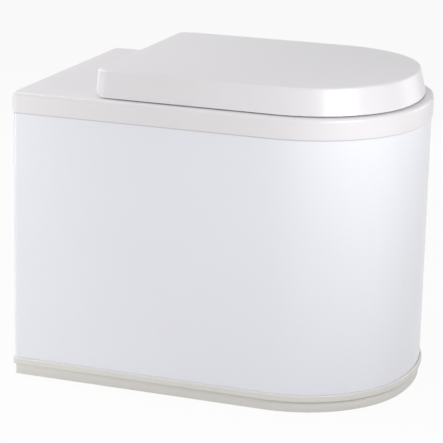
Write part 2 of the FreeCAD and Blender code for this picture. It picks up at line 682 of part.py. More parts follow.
def make_freezer_tub():
    """Drawn tub with a rounded foot and a flat flange."""
    outside = cylinder(TUB_OUTER, 0, TUB_Y, TUB_FLOOR - TUB_WALL, TUB_FLANGE_TOP)
    outside = outside.makeFillet(TUB_CORNER + TUB_WALL, edges_at_height(outside, TUB_FLOOR - TUB_WALL))
    flange = cylinder(TUB_FLANGE_RADIUS, 0, TUB_Y, TUB_FLANGE_TOP - TUB_WALL, TUB_FLANGE_TOP)
    inside = cylinder(TUB_RADIUS, 0, TUB_Y, TUB_FLOOR, TUB_FLANGE_TOP)
    inside = inside.makeFillet(TUB_CORNER, edges_at_height(inside, TUB_FLOOR))
    return outside.fuse(flange).cut(inside).removeSplitter()


def make_tub_gasket():
    outer = COLLAR_RADIUS + (GASKET_WIDTH - COLLAR_WALL) / 2
    ring = cylinder(outer, 0, TUB_Y, TUB_FLANGE_TOP, COLLAR_BOTTOM)
    return ring.cut(cylinder(outer - GASKET_WIDTH, 0, TUB_Y, TUB_FLANGE_TOP, COLLAR_BOTTOM))


def coil_point(turn):
    """Place and heading on the evaporator's winding. Whole turns are at the rear."""
    angle = math.pi / 2 + 2 * math.pi * turn
    outward = point(math.cos(angle), math.sin(angle), 0)
    place = point(0, TUB_Y, COIL_START + COIL_PITCH * turn) + outward * COIL_RADIUS
    heading = UP.cross(outward) * (2 * math.pi * COIL_RADIUS) + UP * COIL_PITCH
    return place, heading.normalize()


def make_evaporator_coil():
    """One unbroken tube wound round the tub, with both tails led out through the bulkhead."""
    bend_y = TUB_Y + COIL_RADIUS + COIL_TAIL_BEND
    inlet = point(COIL_TAIL_BEND, PIPE_END_Y, COIL_START)
    inlet_bend = point(COIL_TAIL_BEND, bend_y, COIL_START)
    outlet = point(-COIL_TAIL_BEND, PIPE_END_Y, COIL_TOP)
    outlet_bend = point(-COIL_TAIL_BEND, bend_y, COIL_TOP)
    first, first_heading = coil_point(0)
    last, last_heading = coil_point(COIL_TURNS)
    edges = [line(inlet, inlet_bend)]
    edges += biarc(inlet_bend, ALONG_Y * -1, first, first_heading)
    for quarter in range(4 * COIL_TURNS):
        start, heading = coil_point(quarter / 4)
        end, arrival = coil_point((quarter + 1) / 4)
        edges += biarc(start, heading, end, arrival)
    edges += biarc(last, last_heading, outlet_bend, ALONG_Y)
    edges.append(line(outlet_bend, outlet))
    below = coil_point(0.5)[0]
    least = min((coil_point(1.25 + step / 48)[0] - below).Length for step in range(24))
    print("evaporator coil, least gap between turns:", round(least - 2 * COIL_TUBE_RADIUS, 2), "mm")
    return round_bar(edges, COIL_TUBE_RADIUS)


def make_insulation():
    """Foam that fills the cabinet round the tub, as far back as the bulkhead."""
    rear = BULKHEAD_Y - FIT
    foot = d_block(CURB_INNER + FIT, TRAY_TOP, LIP_TOP + FIT, rear, FOAM_CORNER)
    body = d_block(SHEET_INNER + FIT, LIP_TOP + FIT, SHEET_TOP, rear, FOAM_CORNER)
    head = d_block(DECK_INSET + DECK_WALL + FIT, SHEET_TOP, DECK_UNDER - FIT, rear, FOAM_CORNER)
    bore_radius = COIL_RADIUS + COIL_TUBE_RADIUS + FIT
    flange_bottom = TUB_FLANGE_TOP - TUB_WALL - FIT
    bore = cylinder(bore_radius, 0, TUB_Y, TUB_FLOOR - TUB_WALL - FIT, flange_bottom)
    mouth = cylinder(TUB_FLANGE_RADIUS + FIT, 0, TUB_Y, flange_bottom, DECK_TOP)
    half = COIL_TAIL_BEND + COIL_TUBE_RADIUS + PIPE_CHANNEL_ROOM
    channel = box(-half, half, TUB_Y + TUB_RADIUS, BULKHEAD_Y, COIL_START - half / 2, COIL_TOP + half / 2)
    return foot.fuse([body, head]).cut([bore, mouth, channel]).removeSplitter()


def make_bulkhead():
    """Folded sheet wall with a flange at its foot and its head, and holes for the pipes."""
    half = HALF_WIDTH - CURB_INNER - FIT
    back = BULKHEAD_BACK + BULKHEAD_FLANGE
    foot = TRAY_TOP + SHEET
    head = BULKHEAD_TOP - SHEET
    outline = [(BULKHEAD_Y, TRAY_TOP), (back, TRAY_TOP), (back, foot), (BULKHEAD_BACK, foot),
               (BULKHEAD_BACK, head), (back, head), (back, BULKHEAD_TOP), (BULKHEAD_Y, BULKHEAD_TOP)]
    wall = polygon([point(-half, y, z) for y, z in outline]).extrude(ALONG_X * (2 * half))
    room = COIL_TUBE_RADIUS + 2 * FIT
    holes = [rod_y(room, COIL_TAIL_BEND, COIL_START, BULKHEAD_Y, BULKHEAD_BACK)]
    holes.append(rod_y(room, -COIL_TAIL_BEND, COIL_TOP, BULKHEAD_Y, BULKHEAD_BACK))
    holes.append(rod_y(FEELER_RADIUS + FIT, 0, feeler_height(), BULKHEAD_Y, BULKHEAD_BACK))
    holes += cylinders(SCREW_RADIUS + RUNNING_FIT, bulkhead_screw_places(), TRAY_TOP, BULKHEAD_TOP)
    return wall.cut(holes)


def make_bulkhead_screws():
    screws = []
    for x, y in bulkhead_screw_places():
        screws.append(machine_screw(point(x, y, TRAY_TOP + SHEET), UP * -1, SCREW_LENGTH))
        screws.append(machine_screw(point(x, y, BULKHEAD_TOP - SHEET), UP, DECK_BOSS_DROP))
    return Part.makeCompound(screws)


def make_waste_container():
    """Tapered container with a rounded foot and a rolled rim to lift it by."""
    bottom = TUB_FLOOR + REST_GAP
    top = bottom + CONTAINER_HEIGHT
    slope = (CONTAINER_RADIUS - CONTAINER_FOOT_RADIUS) / CONTAINER_HEIGHT
    wall = CONTAINER_WALL
    outer_rim = CONTAINER_RADIUS + RIM_WIDTH
    profile = [
        (0, bottom), (CONTAINER_FOOT_RADIUS, bottom), (CONTAINER_RADIUS - slope * wall, top - wall),
        (outer_rim - wall, top - wall), (outer_rim - wall, top - RIM_DROP), (outer_rim, top - RIM_DROP),
        (outer_rim, top), (CONTAINER_RADIUS - wall, top), (CONTAINER_FOOT_RADIUS - wall, bottom + wall),
        (0, bottom + wall),
    ]
    body = revolve_z(profile, 0, TUB_Y)
    body = body.makeFillet(CONTAINER_CORNER, edges_at_height(body, bottom))
    return body.makeFillet(CONTAINER_CORNER - wall, edges_at_height(body, bottom + wall))


def hinge_profile(x, width, outline):
    """Barrel on the hinge axis joined to a flat-sided web, bored for the pin."""
    barrel = rod_x(BARREL_RADIUS, HINGE_Y, HINGE_Z, x, x + width)
    web = polygon([point(x, y, z) for y, z in outline]).extrude(ALONG_X * width)
    bore = rod_x(PIN_RADIUS + RUNNING_FIT, HINGE_Y, HINGE_Z, x, x + width)
    return barrel.fuse(web).cut(bore).removeSplitter()


def make_hinge_posts():
    toe = HINGE_Y - BARREL_RADIUS - POST_TOE
    heel = HINGE_Y + BARREL_RADIUS
    outline = [(toe, DECK_TOP), (heel, DECK_TOP), (heel, HINGE_Z), (HINGE_Y - BARREL_RADIUS, HINGE_Z)]
    post = hinge_profile(HINGE_X - POST_WIDTH / 2, POST_WIDTH, outline)
    post = post.cut(cylinder(STUD_RADIUS + RUNNING_FIT, HINGE_X, HINGE_Y, DECK_TOP, DECK_TOP + STUD_BITE))
    return both_sides(post)


def make_hinge_pins():
    half = POST_WIDTH / 2 + 2 * LUG_GAP + LUG_WIDTH
    pin = rod_x(PIN_RADIUS, HINGE_Y, HINGE_Z, HINGE_X - half, HINGE_X + half)
    heads = []
    for start in (HINGE_X - half - PIN_HEAD, HINGE_X + half):
        heads.append(rod_x(PIN_HEAD_RADIUS, HINGE_Y, HINGE_Z, start, start + PIN_HEAD))
    return both_sides(pin.fuse(heads).removeSplitter())


def make_hinge_studs():
    bottom = DECK_UNDER - WASHER - NUT_HEIGHT - STUD_RADIUS
    return both_sides(cylinder(STUD_RADIUS, HINGE_X, HINGE_Y, bottom, DECK_TOP + STUD_BITE - FIT))


def make_hinge_nuts():
    washer_bottom = DECK_UNDER - WASHER
    bore = cylinder(STUD_RADIUS + RUNNING_FIT, HINGE_X, HINGE_Y, washer_bottom - NUT_HEIGHT, DECK_UNDER)
    washer = cylinder(WASHER_RADIUS, HINGE_X, HINGE_Y, washer_bottom, DECK_UNDER).cut(bore)
    nut = hexagon(NUT_FLATS, HINGE_X, HINGE_Y, washer_bottom - NUT_HEIGHT, washer_bottom).cut(bore)
    return Part.makeCompound([washer, nut, mirrored(washer), mirrored(nut)])


def seat_buffer_places():
    """Under the seat, on the solid deck outside the opening."""
    reach = COLLAR_RADIUS + SEAT_BUFFER_RADIUS
    ahead = reach * math.cos(math.radians(SEAT_BUFFER_ANGLE))
    aside = reach * math.sin(math.radians(SEAT_BUFFER_ANGLE))
    return [(x, y) for x in (-aside, aside) for y in (TUB_Y - ahead, TUB_Y + ahead)]


def seat_hole(grow, top):
    """Block that fills the seat's hole, grown all round."""
    return oval_block(point(0, TUB_Y, SEAT_BOTTOM), ALONG_Y, HOLE_HALF_LENGTH + grow, HOLE_HALF_WIDTH + grow,
                      HOLE_END_RADIUS + grow, top - SEAT_BOTTOM)


def make_seat_ring():
    """Moulded ring, rounded above and hollow below, with two hinge lugs and four buffer bosses."""
    ring = d_block(SEAT_INSET, SEAT_BOTTOM, SEAT_TOP, SEAT_REAR_Y, SEAT_CORNER)
    ring = ring.cut(seat_hole(0, SEAT_TOP))
    ring = ring.makeFillet(SEAT_ROUND, edges_at_height(ring, SEAT_TOP))
    inner_top = SEAT_TOP - SEAT_WALL
    pocket = d_block(SEAT_INSET + SEAT_WALL, SEAT_BOTTOM, inner_top, SEAT_REAR_Y - SEAT_WALL,
                     SEAT_CORNER - SEAT_WALL)
    pocket = pocket.cut(seat_hole(SEAT_WALL, inner_top))
    boss_radius = SEAT_BUFFER_RADIUS + BUFFER_BOSS_WALL
    bosses = cylinders(boss_radius, seat_buffer_places(), SEAT_BOTTOM, inner_top)
    buffer_top = SEAT_BOTTOM + SEAT_BUFFER_SEAT
    seats = cylinders(SEAT_BUFFER_RADIUS + RUNNING_FIT, seat_buffer_places(), SEAT_BOTTOM, buffer_top)
    arm_front = SEAT_REAR_Y - SEAT_ROUND
    outline = [(arm_front, SEAT_BOTTOM + SEAT_WALL), (HINGE_Y, HINGE_Z - BARREL_RADIUS),
               (HINGE_Y, HINGE_Z + BARREL_RADIUS), (arm_front, inner_top)]
    lug = hinge_profile(HINGE_X + POST_WIDTH / 2 + LUG_GAP, LUG_WIDTH, outline)
    return ring.cut(pocket.cut(bosses)).cut(seats).fuse([lug, mirrored(lug)])


def make_seat_buffers():
    foot = DECK_TOP + REST_GAP
    blanks = cylinders(SEAT_BUFFER_RADIUS, seat_buffer_places(), foot, SEAT_BOTTOM + SEAT_BUFFER_SEAT)
    return Part.makeCompound([blank.makeChamfer(PAD_BEVEL, edges_at_height(blank, foot)) for blank in blanks])


def lid_block(wall, top, edge_round):
    """Form of the lid, this far inside its faces: leaning sides and nose, an upright rear, a rounded top edge."""
    rear = LID_REAR_Y - wall
    corner = LID_CORNER - wall
    foot = d_face(LID_INSET + wall, LID_BOTTOM, rear, corner)
    crown = d_face(LID_INSET + LID_LEAN + wall, top, rear, corner)
    block = Part.makeLoft([foot.OuterWire, crown.OuterWire], True, True)
    return block.makeFillet(edge_round, edges_at_height(block, top))


def make_lid_shell():
    """Deep lid: rounded heel, open below, notched round the posts and the seat's lugs."""
    outside = lid_block(0, LID_TOP, LID_EDGE_ROUND)
    inside = lid_block(LID_WALL, LID_UNDER, LID_EDGE_ROUND - LID_WALL)
    heel_y = LID_REAR_Y - LID_HEEL_ROUND
    heel_z = LID_BOTTOM + LID_HEEL_ROUND
    heel = box(-HALF_WIDTH, HALF_WIDTH, heel_y, LID_REAR_Y, LID_BOTTOM, heel_z)
    heel = heel.cut(rod_x(LID_HEEL_ROUND, heel_y, heel_z, -HALF_WIDTH, HALF_WIDTH))
    notch_left = HINGE_X - POST_WIDTH / 2 - NOTCH_FIT
    notch_right = HINGE_X + POST_WIDTH / 2 + LUG_GAP + LUG_WIDTH + NOTCH_FIT
    notch_top = HINGE_Z + BARREL_RADIUS + NOTCH_RISE
    notch = box(notch_left, notch_right, HINGE_Y, LID_REAR_Y, LID_BOTTOM, notch_top)
    crown = LID_UNDER + LID_WALL / 2
    outline = [(HINGE_Y - BARREL_RADIUS, HINGE_Z), (HINGE_Y, HINGE_Z), (HINGE_Y + BARREL_RADIUS / 2, crown),
               (HINGE_Y - 2 * BARREL_RADIUS, crown)]
    lug = hinge_profile(HINGE_X - POST_WIDTH / 2 - LUG_GAP - LUG_WIDTH, LUG_WIDTH, outline)
    return outside.cut([inside, heel, notch, mirrored(notch)]).fuse([lug, mirrored(lug)])


def liner_block(margin, bottom, top):
    inset = LID_INSET + LID_LEAN + LID_WALL + LID_LINER_MARGIN + margin
    return d_block(inset, bottom, top, HINGE_Y - LID_LINER_REAR - margin, LID_CORNER)


def make_lid_insulation():
    return liner_block(LID_LINER + FIT, LID_UNDER - LID_FOAM, LID_UNDER)


def make_lid_liner():
    """Shallow tray that covers the foam under the lid."""
    tray = liner_block(0, LINER_UNDER, LID_UNDER)
    tray = tray.makeFillet(LID_LINER_RIM, edges_at_height(tray, LINER_UNDER))
    return tray.cut(liner_block(LID_LINER, LID_UNDER - LID_FOAM - FIT, LID_UNDER))


def make_lid_buffers():
    """Rubber studs between the lid's liner and the seat."""
    aside = HOLE_HALF_WIDTH + 2 * LID_BUFFER_RADIUS
    ahead = HOLE_HALF_LENGTH / 2
    foot = SEAT_TOP + REST_GAP
    places = [(x, y) for x in (-aside, aside) for y in (TUB_Y - ahead, TUB_Y + ahead)]
    blanks = cylinders(LID_BUFFER_RADIUS, places, foot, LINER_UNDER)
    return Part.makeCompound([blank.makeChamfer(PAD_BEVEL, edges_at_height(blank, foot)) for blank in blanks])


def make_control_well():
    """Moulded recess in the rear panel, with holes for what it carries."""
    back = PANEL_Y + SHEET
    flange = plate_xz(WELL_X, WELL_Z, WELL_WIDTH + 2 * WELL_FLANGE, WELL_HEIGHT + 2 * WELL_FLANGE,
                      WELL_CORNER + WELL_FLANGE, back, back + SHEET)
    cup = plate_xz(WELL_X, WELL_Z, WELL_WIDTH, WELL_HEIGHT, WELL_CORNER, WELL_FLOOR_Y - WELL_WALL, back)
    hollow = plate_xz(WELL_X, WELL_Z, WELL_WIDTH - 2 * WELL_WALL, WELL_HEIGHT - 2 * WELL_WALL,
                      WELL_CORNER - WELL_WALL, WELL_FLOOR_Y, back + SHEET)
    front = WELL_FLOOR_Y - WELL_WALL
    shaft_hole = rod_y(SHAFT_RADIUS + FIT, WELL_X, KNOB_Z, front, WELL_FLOOR_Y)
    switch_hole = plate_xz(WELL_X - SWITCH_X, WELL_Z - SWITCH_DROP, SWITCH_WIDTH + FIT, SWITCH_HEIGHT + FIT,
                           SWITCH_WALL, front, WELL_FLOOR_Y)
    lamp_hole = rod_y(LAMP_RADIUS + RUNNING_FIT, WELL_X + SWITCH_X, WELL_Z - SWITCH_DROP, front, WELL_FLOOR_Y)
    gland_hole = rod_y(GLAND_RADIUS + RUNNING_FIT, WELL_X, WELL_Z - GLAND_DROP, front, WELL_FLOOR_Y)
    return flange.fuse(cup).cut([hollow, shaft_hole, switch_hole, lamp_hole, gland_hole])


def make_thermostat_body():
    back = WELL_FLOOR_Y - WELL_WALL
    front = back - THERMOSTAT_DEPTH
    case = plate_xz(WELL_X, KNOB_Z, THERMOSTAT_WIDTH, THERMOSTAT_HEIGHT, WELL_WALL, front, back)
    bore = rod_y(SHAFT_RADIUS + RUNNING_FIT, WELL_X, KNOB_Z, back - THERMOSTAT_DEPTH / 2, back)
    return case.cut(bore)


def make_thermostat_shaft():
    front = WELL_FLOOR_Y - WELL_WALL - THERMOSTAT_DEPTH / 2 + FIT
    return rod_y(SHAFT_RADIUS, WELL_X, KNOB_Z, front, WELL_FLOOR_Y + KNOB_HEIGHT / 2)


def make_thermostat_knob():
    """Skirted knob with a finger bar across it."""
    base = WELL_FLOOR_Y + FIT
    shoulder = base + 2 * KNOB_SKIRT
    profile = [(0, base), (KNOB_RADIUS, base), (KNOB_RADIUS, base + KNOB_SKIRT),
               (KNOB_RADIUS - KNOB_SKIRT, shoulder), (0, shoulder)]
    knob = revolve_y(profile, WELL_X, KNOB_Z)
    length = 2 * (KNOB_RADIUS - FIT)
    bar = plate_xz(WELL_X, KNOB_Z, KNOB_GRIP, length, KNOB_GRIP / 3, base, base + KNOB_HEIGHT)
    bore = rod_y(SHAFT_RADIUS + RUNNING_FIT, WELL_X, KNOB_Z, base, WELL_FLOOR_Y + KNOB_HEIGHT / 2 + FIT)
    return knob.fuse(bar).cut(bore)


def switch_axis():
    return point(WELL_X - SWITCH_X, WELL_FLOOR_Y - ROCKER_RISE / 2, WELL_Z - SWITCH_DROP)


def make_switch_body():
    """Bezel on the well's floor and a case behind it, with bearings for the rocker."""
    axis = switch_axis()
    front = WELL_FLOOR_Y - SWITCH_DEPTH
    back = WELL_FLOOR_Y + SWITCH_BEZEL
    margin = 2 * SWITCH_WALL
    bezel = plate_xz(axis.x, axis.z, SWITCH_WIDTH + margin, SWITCH_HEIGHT + margin, SWITCH_WALL,
                     WELL_FLOOR_Y, back)
    case = plate_xz(axis.x, axis.z, SWITCH_WIDTH, SWITCH_HEIGHT, SWITCH_WALL, front, WELL_FLOOR_Y)
    half_x = SWITCH_WIDTH / 2 - SWITCH_WALL
    half_z = SWITCH_HEIGHT / 2 - SWITCH_WALL
    cavity = box(axis.x - half_x, axis.x + half_x, front + SWITCH_WALL, back,
                 axis.z - half_z, axis.z + half_z)
    reach = half_x + SWITCH_WALL / 2 + ROCKER_FIT
    bearings = rod_x(ROCKER_PIVOT_RADIUS + RUNNING_FIT, axis.y, axis.z, axis.x - reach, axis.x + reach)
    return bezel.fuse(case).cut([cavity, bearings])


def make_switch_rocker():
    """Dished rocker on two stub pivots, shown with its lower half pressed in."""
    axis = switch_axis()
    half_x = SWITCH_WIDTH / 2 - SWITCH_WALL - ROCKER_FIT
    half_z = SWITCH_HEIGHT / 2 - SWITCH_WALL - 3 * ROCKER_FIT
    front = axis.y - ROCKER_RISE
    back = WELL_FLOOR_Y + ROCKER_RISE
    left = axis.x - half_x
    profile = [point(left, front, axis.z - half_z / 2), point(left, back, axis.z - half_z),
               point(left, back - ROCKER_DISH, axis.z), point(left, back, axis.z + half_z),
               point(left, front, axis.z + half_z / 2)]
    rocker = polygon(profile).extrude(ALONG_X * (2 * half_x))
    reach = half_x + SWITCH_WALL / 2 + ROCKER_FIT
    pivots = rod_x(ROCKER_PIVOT_RADIUS, axis.y, axis.z, axis.x - reach, axis.x + reach)
    rocker = rocker.fuse(pivots).removeSplitter()
    rocker.rotate(axis, ALONG_X, -ROCKER_TILT)
    return rocker


def make_pilot_lamp():
    base = WELL_FLOOR_Y
    tail = base - 3 * LAMP_RADIUS
    top = base + LAMP_RADIUS
    profile = [(0, tail), (LAMP_RADIUS, tail), (LAMP_RADIUS, base), (LAMP_BEZEL_RADIUS, base),
               (LAMP_BEZEL_RADIUS, base + LAMP_RADIUS / 3), (LAMP_RADIUS, base + LAMP_RADIUS / 2),
               (LAMP_RADIUS / 2, top), (0, top)]
    return revolve_y(profile, WELL_X + SWITCH_X, WELL_Z - SWITCH_DROP)


def make_cable_gland():
    """Round gland with a stepped collar, and its locknut behind the well's floor."""
    x = WELL_X
    z = WELL_Z - GLAND_DROP
    front = WELL_FLOOR_Y - WELL_WALL
    tail = front - GLAND_NUT
    step = WELL_FLOOR_Y + GLAND_NUT
    mouth = WELL_FLOOR_Y + GLAND_REACH
    profile = [(GLAND_BORE, tail), (GLAND_RADIUS, tail), (GLAND_RADIUS, WELL_FLOOR_Y),
               (GLAND_COLLAR_RADIUS, WELL_FLOOR_Y), (GLAND_COLLAR_RADIUS, step),
               (GLAND_RADIUS, step), (GLAND_MOUTH_RADIUS, mouth), (GLAND_BORE, mouth)]
    gland = revolve_y(profile, x, z)
    locknut = rod_y(GLAND_COLLAR_RADIUS, x, z, tail, front)
    locknut = locknut.cut(rod_y(GLAND_RADIUS + RUNNING_FIT, x, z, tail, front))
    return Part.makeCompound([gland, locknut])


def feeler_height():
    """Half way between two turns of the coil near the top."""
    return COIL_START + (COIL_TURNS - 1.5) * COIL_PITCH


def make_sensor_line():
    """Thermostat's feeler tube, with its bulb against the tub between two turns of the coil."""
    z = feeler_height()
    bulb_y = TUB_Y + TUB_OUTER + FIT + BULB_RADIUS
    lane_y = BULKHEAD_BACK + 4 * LINE_BEND
    back = WELL_FLOOR_Y - WELL_WALL - THERMOSTAT_DEPTH
    bulb = cylinder(BULB_RADIUS, 0, bulb_y, z - BULB_LENGTH / 2, z + BULB_LENGTH / 2)
    route = [point(0, bulb_y, z), point(0, lane_y, z), point(WELL_X, lane_y, z),
             point(WELL_X, lane_y, KNOB_Z), point(WELL_X, back, KNOB_Z)]
    return bulb.fuse(tube(route, FEELER_RADIUS, LINE_BEND))


def compressor_oval(grow, bottom, top):
    """Upright oval block about the compressor's middle."""
    return oval_block(point(COMPRESSOR_X, COMPRESSOR_Y, bottom), ALONG_X, COMPRESSOR_HALF_WIDTH + grow,
                      COMPRESSOR_HALF_DEPTH + grow, COMPRESSOR_END_RADIUS + grow, top - bottom)


def make_compressor_lower_shell():
    shell = compressor_oval(0, SHELL_BOTTOM, SEAM_Z)
    shell = shell.makeFillet(COMPRESSOR_LOWER_ROUND, edges_at_height(shell, SHELL_BOTTOM))
    return shell.cut(compressor_oval(-COMPRESSOR_WALL, SHELL_BOTTOM + COMPRESSOR_LOWER_ROUND, SEAM_Z))


def make_compressor_upper_shell():
    top = SEAM_Z + COMPRESSOR_UPPER
    shell = compressor_oval(0, SEAM_Z, top)
    shell = shell.makeFillet(COMPRESSOR_UPPER_ROUND, edges_at_height(shell, top))
    seam = compressor_oval(COMPRESSOR_SEAM, SEAM_Z, SEAM_Z + COMPRESSOR_SEAM_HEIGHT)
    return shell.fuse(seam).cut(compressor_oval(-COMPRESSOR_WALL, SEAM_Z, top - COMPRESSOR_UPPER_ROUND))


def make_compressor_foot_plate():
    half_x = MOUNT_HALF_X + FOOT_PLATE_MARGIN
    half_y = MOUNT_HALF_Y + FOOT_PLATE_MARGIN
    plate = box(COMPRESSOR_X - half_x, COMPRESSOR_X + half_x, COMPRESSOR_Y - half_y, COMPRESSOR_Y + half_y,
                PLATE_BOTTOM, SHELL_BOTTOM)
    upright = [edge for edge in plate.Edges if edge.BoundBox.ZLength > FOOT_PLATE / 2]
    plate = plate.makeFillet(FOOT_PLATE_MARGIN - FIT, upright)
    return plate.cut(cylinders(GROMMET_NECK + FIT, mount_places(), PLATE_BOTTOM, SHELL_BOTTOM))


def make_compressor_grommets():
    top = SHELL_BOTTOM + GROMMET_UPPER
    profile = [(GROMMET_BORE, MOUNT_TOP), (GROMMET_RADIUS, MOUNT_TOP), (GROMMET_RADIUS, PLATE_BOTTOM),
               (GROMMET_NECK, PLATE_BOTTOM), (GROMMET_NECK, SHELL_BOTTOM), (GROMMET_RADIUS, SHELL_BOTTOM),
               (GROMMET_RADIUS - FOOT_PLATE / 2, top), (GROMMET_BORE, top)]
    return Part.makeCompound([revolve_z(profile, x, y) for x, y in mount_places()])


def make_compressor_bolts():
    bolts = []
    top = SHELL_BOTTOM + GROMMET_UPPER
    for x, y in mount_places():
        shank = cylinder(BOLT_RADIUS, x, y, PLINTH_TOP - TRAY_FLOOR, top)
        washer = cylinder(BOLT_WASHER_RADIUS, x, y, top, top + BOLT_WASHER)
        head = hexagon(BOLT_HEAD_FLATS, x, y, top + BOLT_WASHER, top + BOLT_WASHER + BOLT_HEAD)
        bolts.append(shank.fuse([washer, head]).removeSplitter())
    return Part.makeCompound(bolts)


def make_relay_cover():
    """Moulded cover over the terminals, shaped to the shell behind it."""
    middle = SEAM_Z - SUCTION_DROP
    back = COMPRESSOR_Y + COMPRESSOR_HALF_DEPTH + RELAY_DEPTH
    cover = plate_xz(COMPRESSOR_X, middle, RELAY_WIDTH, RELAY_HEIGHT, RELAY_ROUND, COMPRESSOR_Y, back)
    rim = [edge for edge in cover.Edges if edge.BoundBox.YMin > back - SAME_PLACE]
    cover = cover.makeFillet(RELAY_ROUND, rim)
    return cover.cut(compressor_oval(FIT, middle - RELAY_HEIGHT, middle + RELAY_HEIGHT))


def make_condenser_tube():
    """Serpentine tube, with both ends turned forward."""
    tail_y = CONDENSER_Y - CONDENSER_TAIL
    route = [point(CONDENSER_RIGHT, tail_y, CONDENSER_TOP)]
    for run in range(CONDENSER_RUNS):
        z = CONDENSER_TOP - run * CONDENSER_PITCH
        ends = (CONDENSER_RIGHT, CONDENSER_LEFT) if run % 2 == 0 else (CONDENSER_LEFT, CONDENSER_RIGHT)
        route += [point(ends[0], CONDENSER_Y, z), point(ends[1], CONDENSER_Y, z)]
    route.append(point(CONDENSER_RIGHT, tail_y, CONDENSER_BOTTOM))
    return tube(route, CONDENSER_TUBE_RADIUS, CONDENSER_PITCH / 2)


def make_condenser_wires():
    """Upright wires on both faces of the serpentine."""
    offset = CONDENSER_TUBE_RADIUS + WIRE_RADIUS + JOINT_GAP
    first = CONDENSER_LEFT + CONDENSER_PITCH
    step = (CONDENSER_RIGHT - CONDENSER_PITCH - first) / (WIRE_COUNT - 1)
    low = CONDENSER_BOTTOM - WIRE_OVERHANG
    high = CONDENSER_TOP + WIRE_OVERHANG
    return Part.makeCompound([cylinder(WIRE_RADIUS, first + i * step, CONDENSER_Y + side * offset, low, high)
                              for i in range(WIRE_COUNT) for side in (-1, 1)])


def make_condenser_clips():
    """Four moulded stand-offs on the rear panel, grooved to hold the serpentine."""
    first = CONDENSER_LEFT + CONDENSER_PITCH
    step = (CONDENSER_RIGHT - CONDENSER_PITCH - first) / (WIRE_COUNT - 1)
    front = CONDENSER_Y - CONDENSER_TUBE_RADIUS / 2
    back = PANEL_Y - LOUVRE_OPEN - 2 * LOUVRE_SKIN
    clips = []
    for x in (first + step / 2, first + step * (WIRE_COUNT - 1) - step / 2):
        for z in (CONDENSER_BOTTOM + CONDENSER_PITCH, CONDENSER_TOP - CONDENSER_PITCH):
            clip = rod_y(CLIP_RADIUS, x, z, front, back)
            groove = rod_x(CONDENSER_TUBE_RADIUS + FIT, CONDENSER_Y, z, x - CLIP_RADIUS, x + CLIP_RADIUS)
            clips.append(clip.cut(groove))
    return Part.makeCompound(clips)


def make_discharge_line():
    start_x = COMPRESSOR_X + COMPRESSOR_HALF_WIDTH + JOINT_GAP
    z = SEAM_Z + DISCHARGE_RISE
    end_y = CONDENSER_Y - CONDENSER_TAIL - JOINT_GAP
    route = [point(start_x, COMPRESSOR_Y, z), point(CONDENSER_RIGHT, COMPRESSOR_Y, z),
             point(CONDENSER_RIGHT, COMPRESSOR_Y, CONDENSER_TOP),
             point(CONDENSER_RIGHT, end_y, CONDENSER_TOP)]
    return tube(route, LINE_RADIUS, LINE_BEND)


def drier_ends():
    back = CONDENSER_Y - CONDENSER_TAIL - JOINT_GAP
    return back - DRIER_LENGTH, back


def make_filter_drier():
    """Spun copper cartridge, drawn in at both ends."""
    front, back = drier_ends()
    profile = [(0, front), (LINE_RADIUS, front), (DRIER_RADIUS, front + DRIER_TAPER),
               (DRIER_RADIUS, back - DRIER_TAPER), (LINE_RADIUS, back), (0, back)]
    return revolve_y(profile, CONDENSER_RIGHT, CONDENSER_BOTTOM)


def make_capillary_line():
    front = drier_ends()[0]
    lane_y = (front + PIPE_END_Y) / 2
    route = [point(CONDENSER_RIGHT, front - JOINT_GAP, CONDENSER_BOTTOM),
             point(CONDENSER_RIGHT, lane_y, CONDENSER_BOTTOM), point(COIL_TAIL_BEND, lane_y, COIL_START),
             point(COIL_TAIL_BEND, PIPE_END_Y + JOINT_GAP, COIL_START)]
    return tube(route, CAPILLARY_RADIUS, LINE_BEND)


def make_suction_line():
    lane_x = SHEET_INNER + SUCTION_LANE - HALF_WIDTH
    lane_y = PIPE_END_Y + 2 * LINE_BEND + JOINT_GAP
    z = SEAM_Z - SUCTION_DROP
    end_x = COMPRESSOR_X - COMPRESSOR_HALF_WIDTH - JOINT_GAP
    route = [point(-COIL_TAIL_BEND, PIPE_END_Y + JOINT_GAP, COIL_TOP),
             point(-COIL_TAIL_BEND, lane_y, COIL_TOP), point(lane_x, lane_y, COIL_TOP),
             point(lane_x, lane_y, z), point(lane_x, COMPRESSOR_Y, z), point(end_x, COMPRESSOR_Y, z)]
    return tube(route, LINE_RADIUS, LINE_BEND)


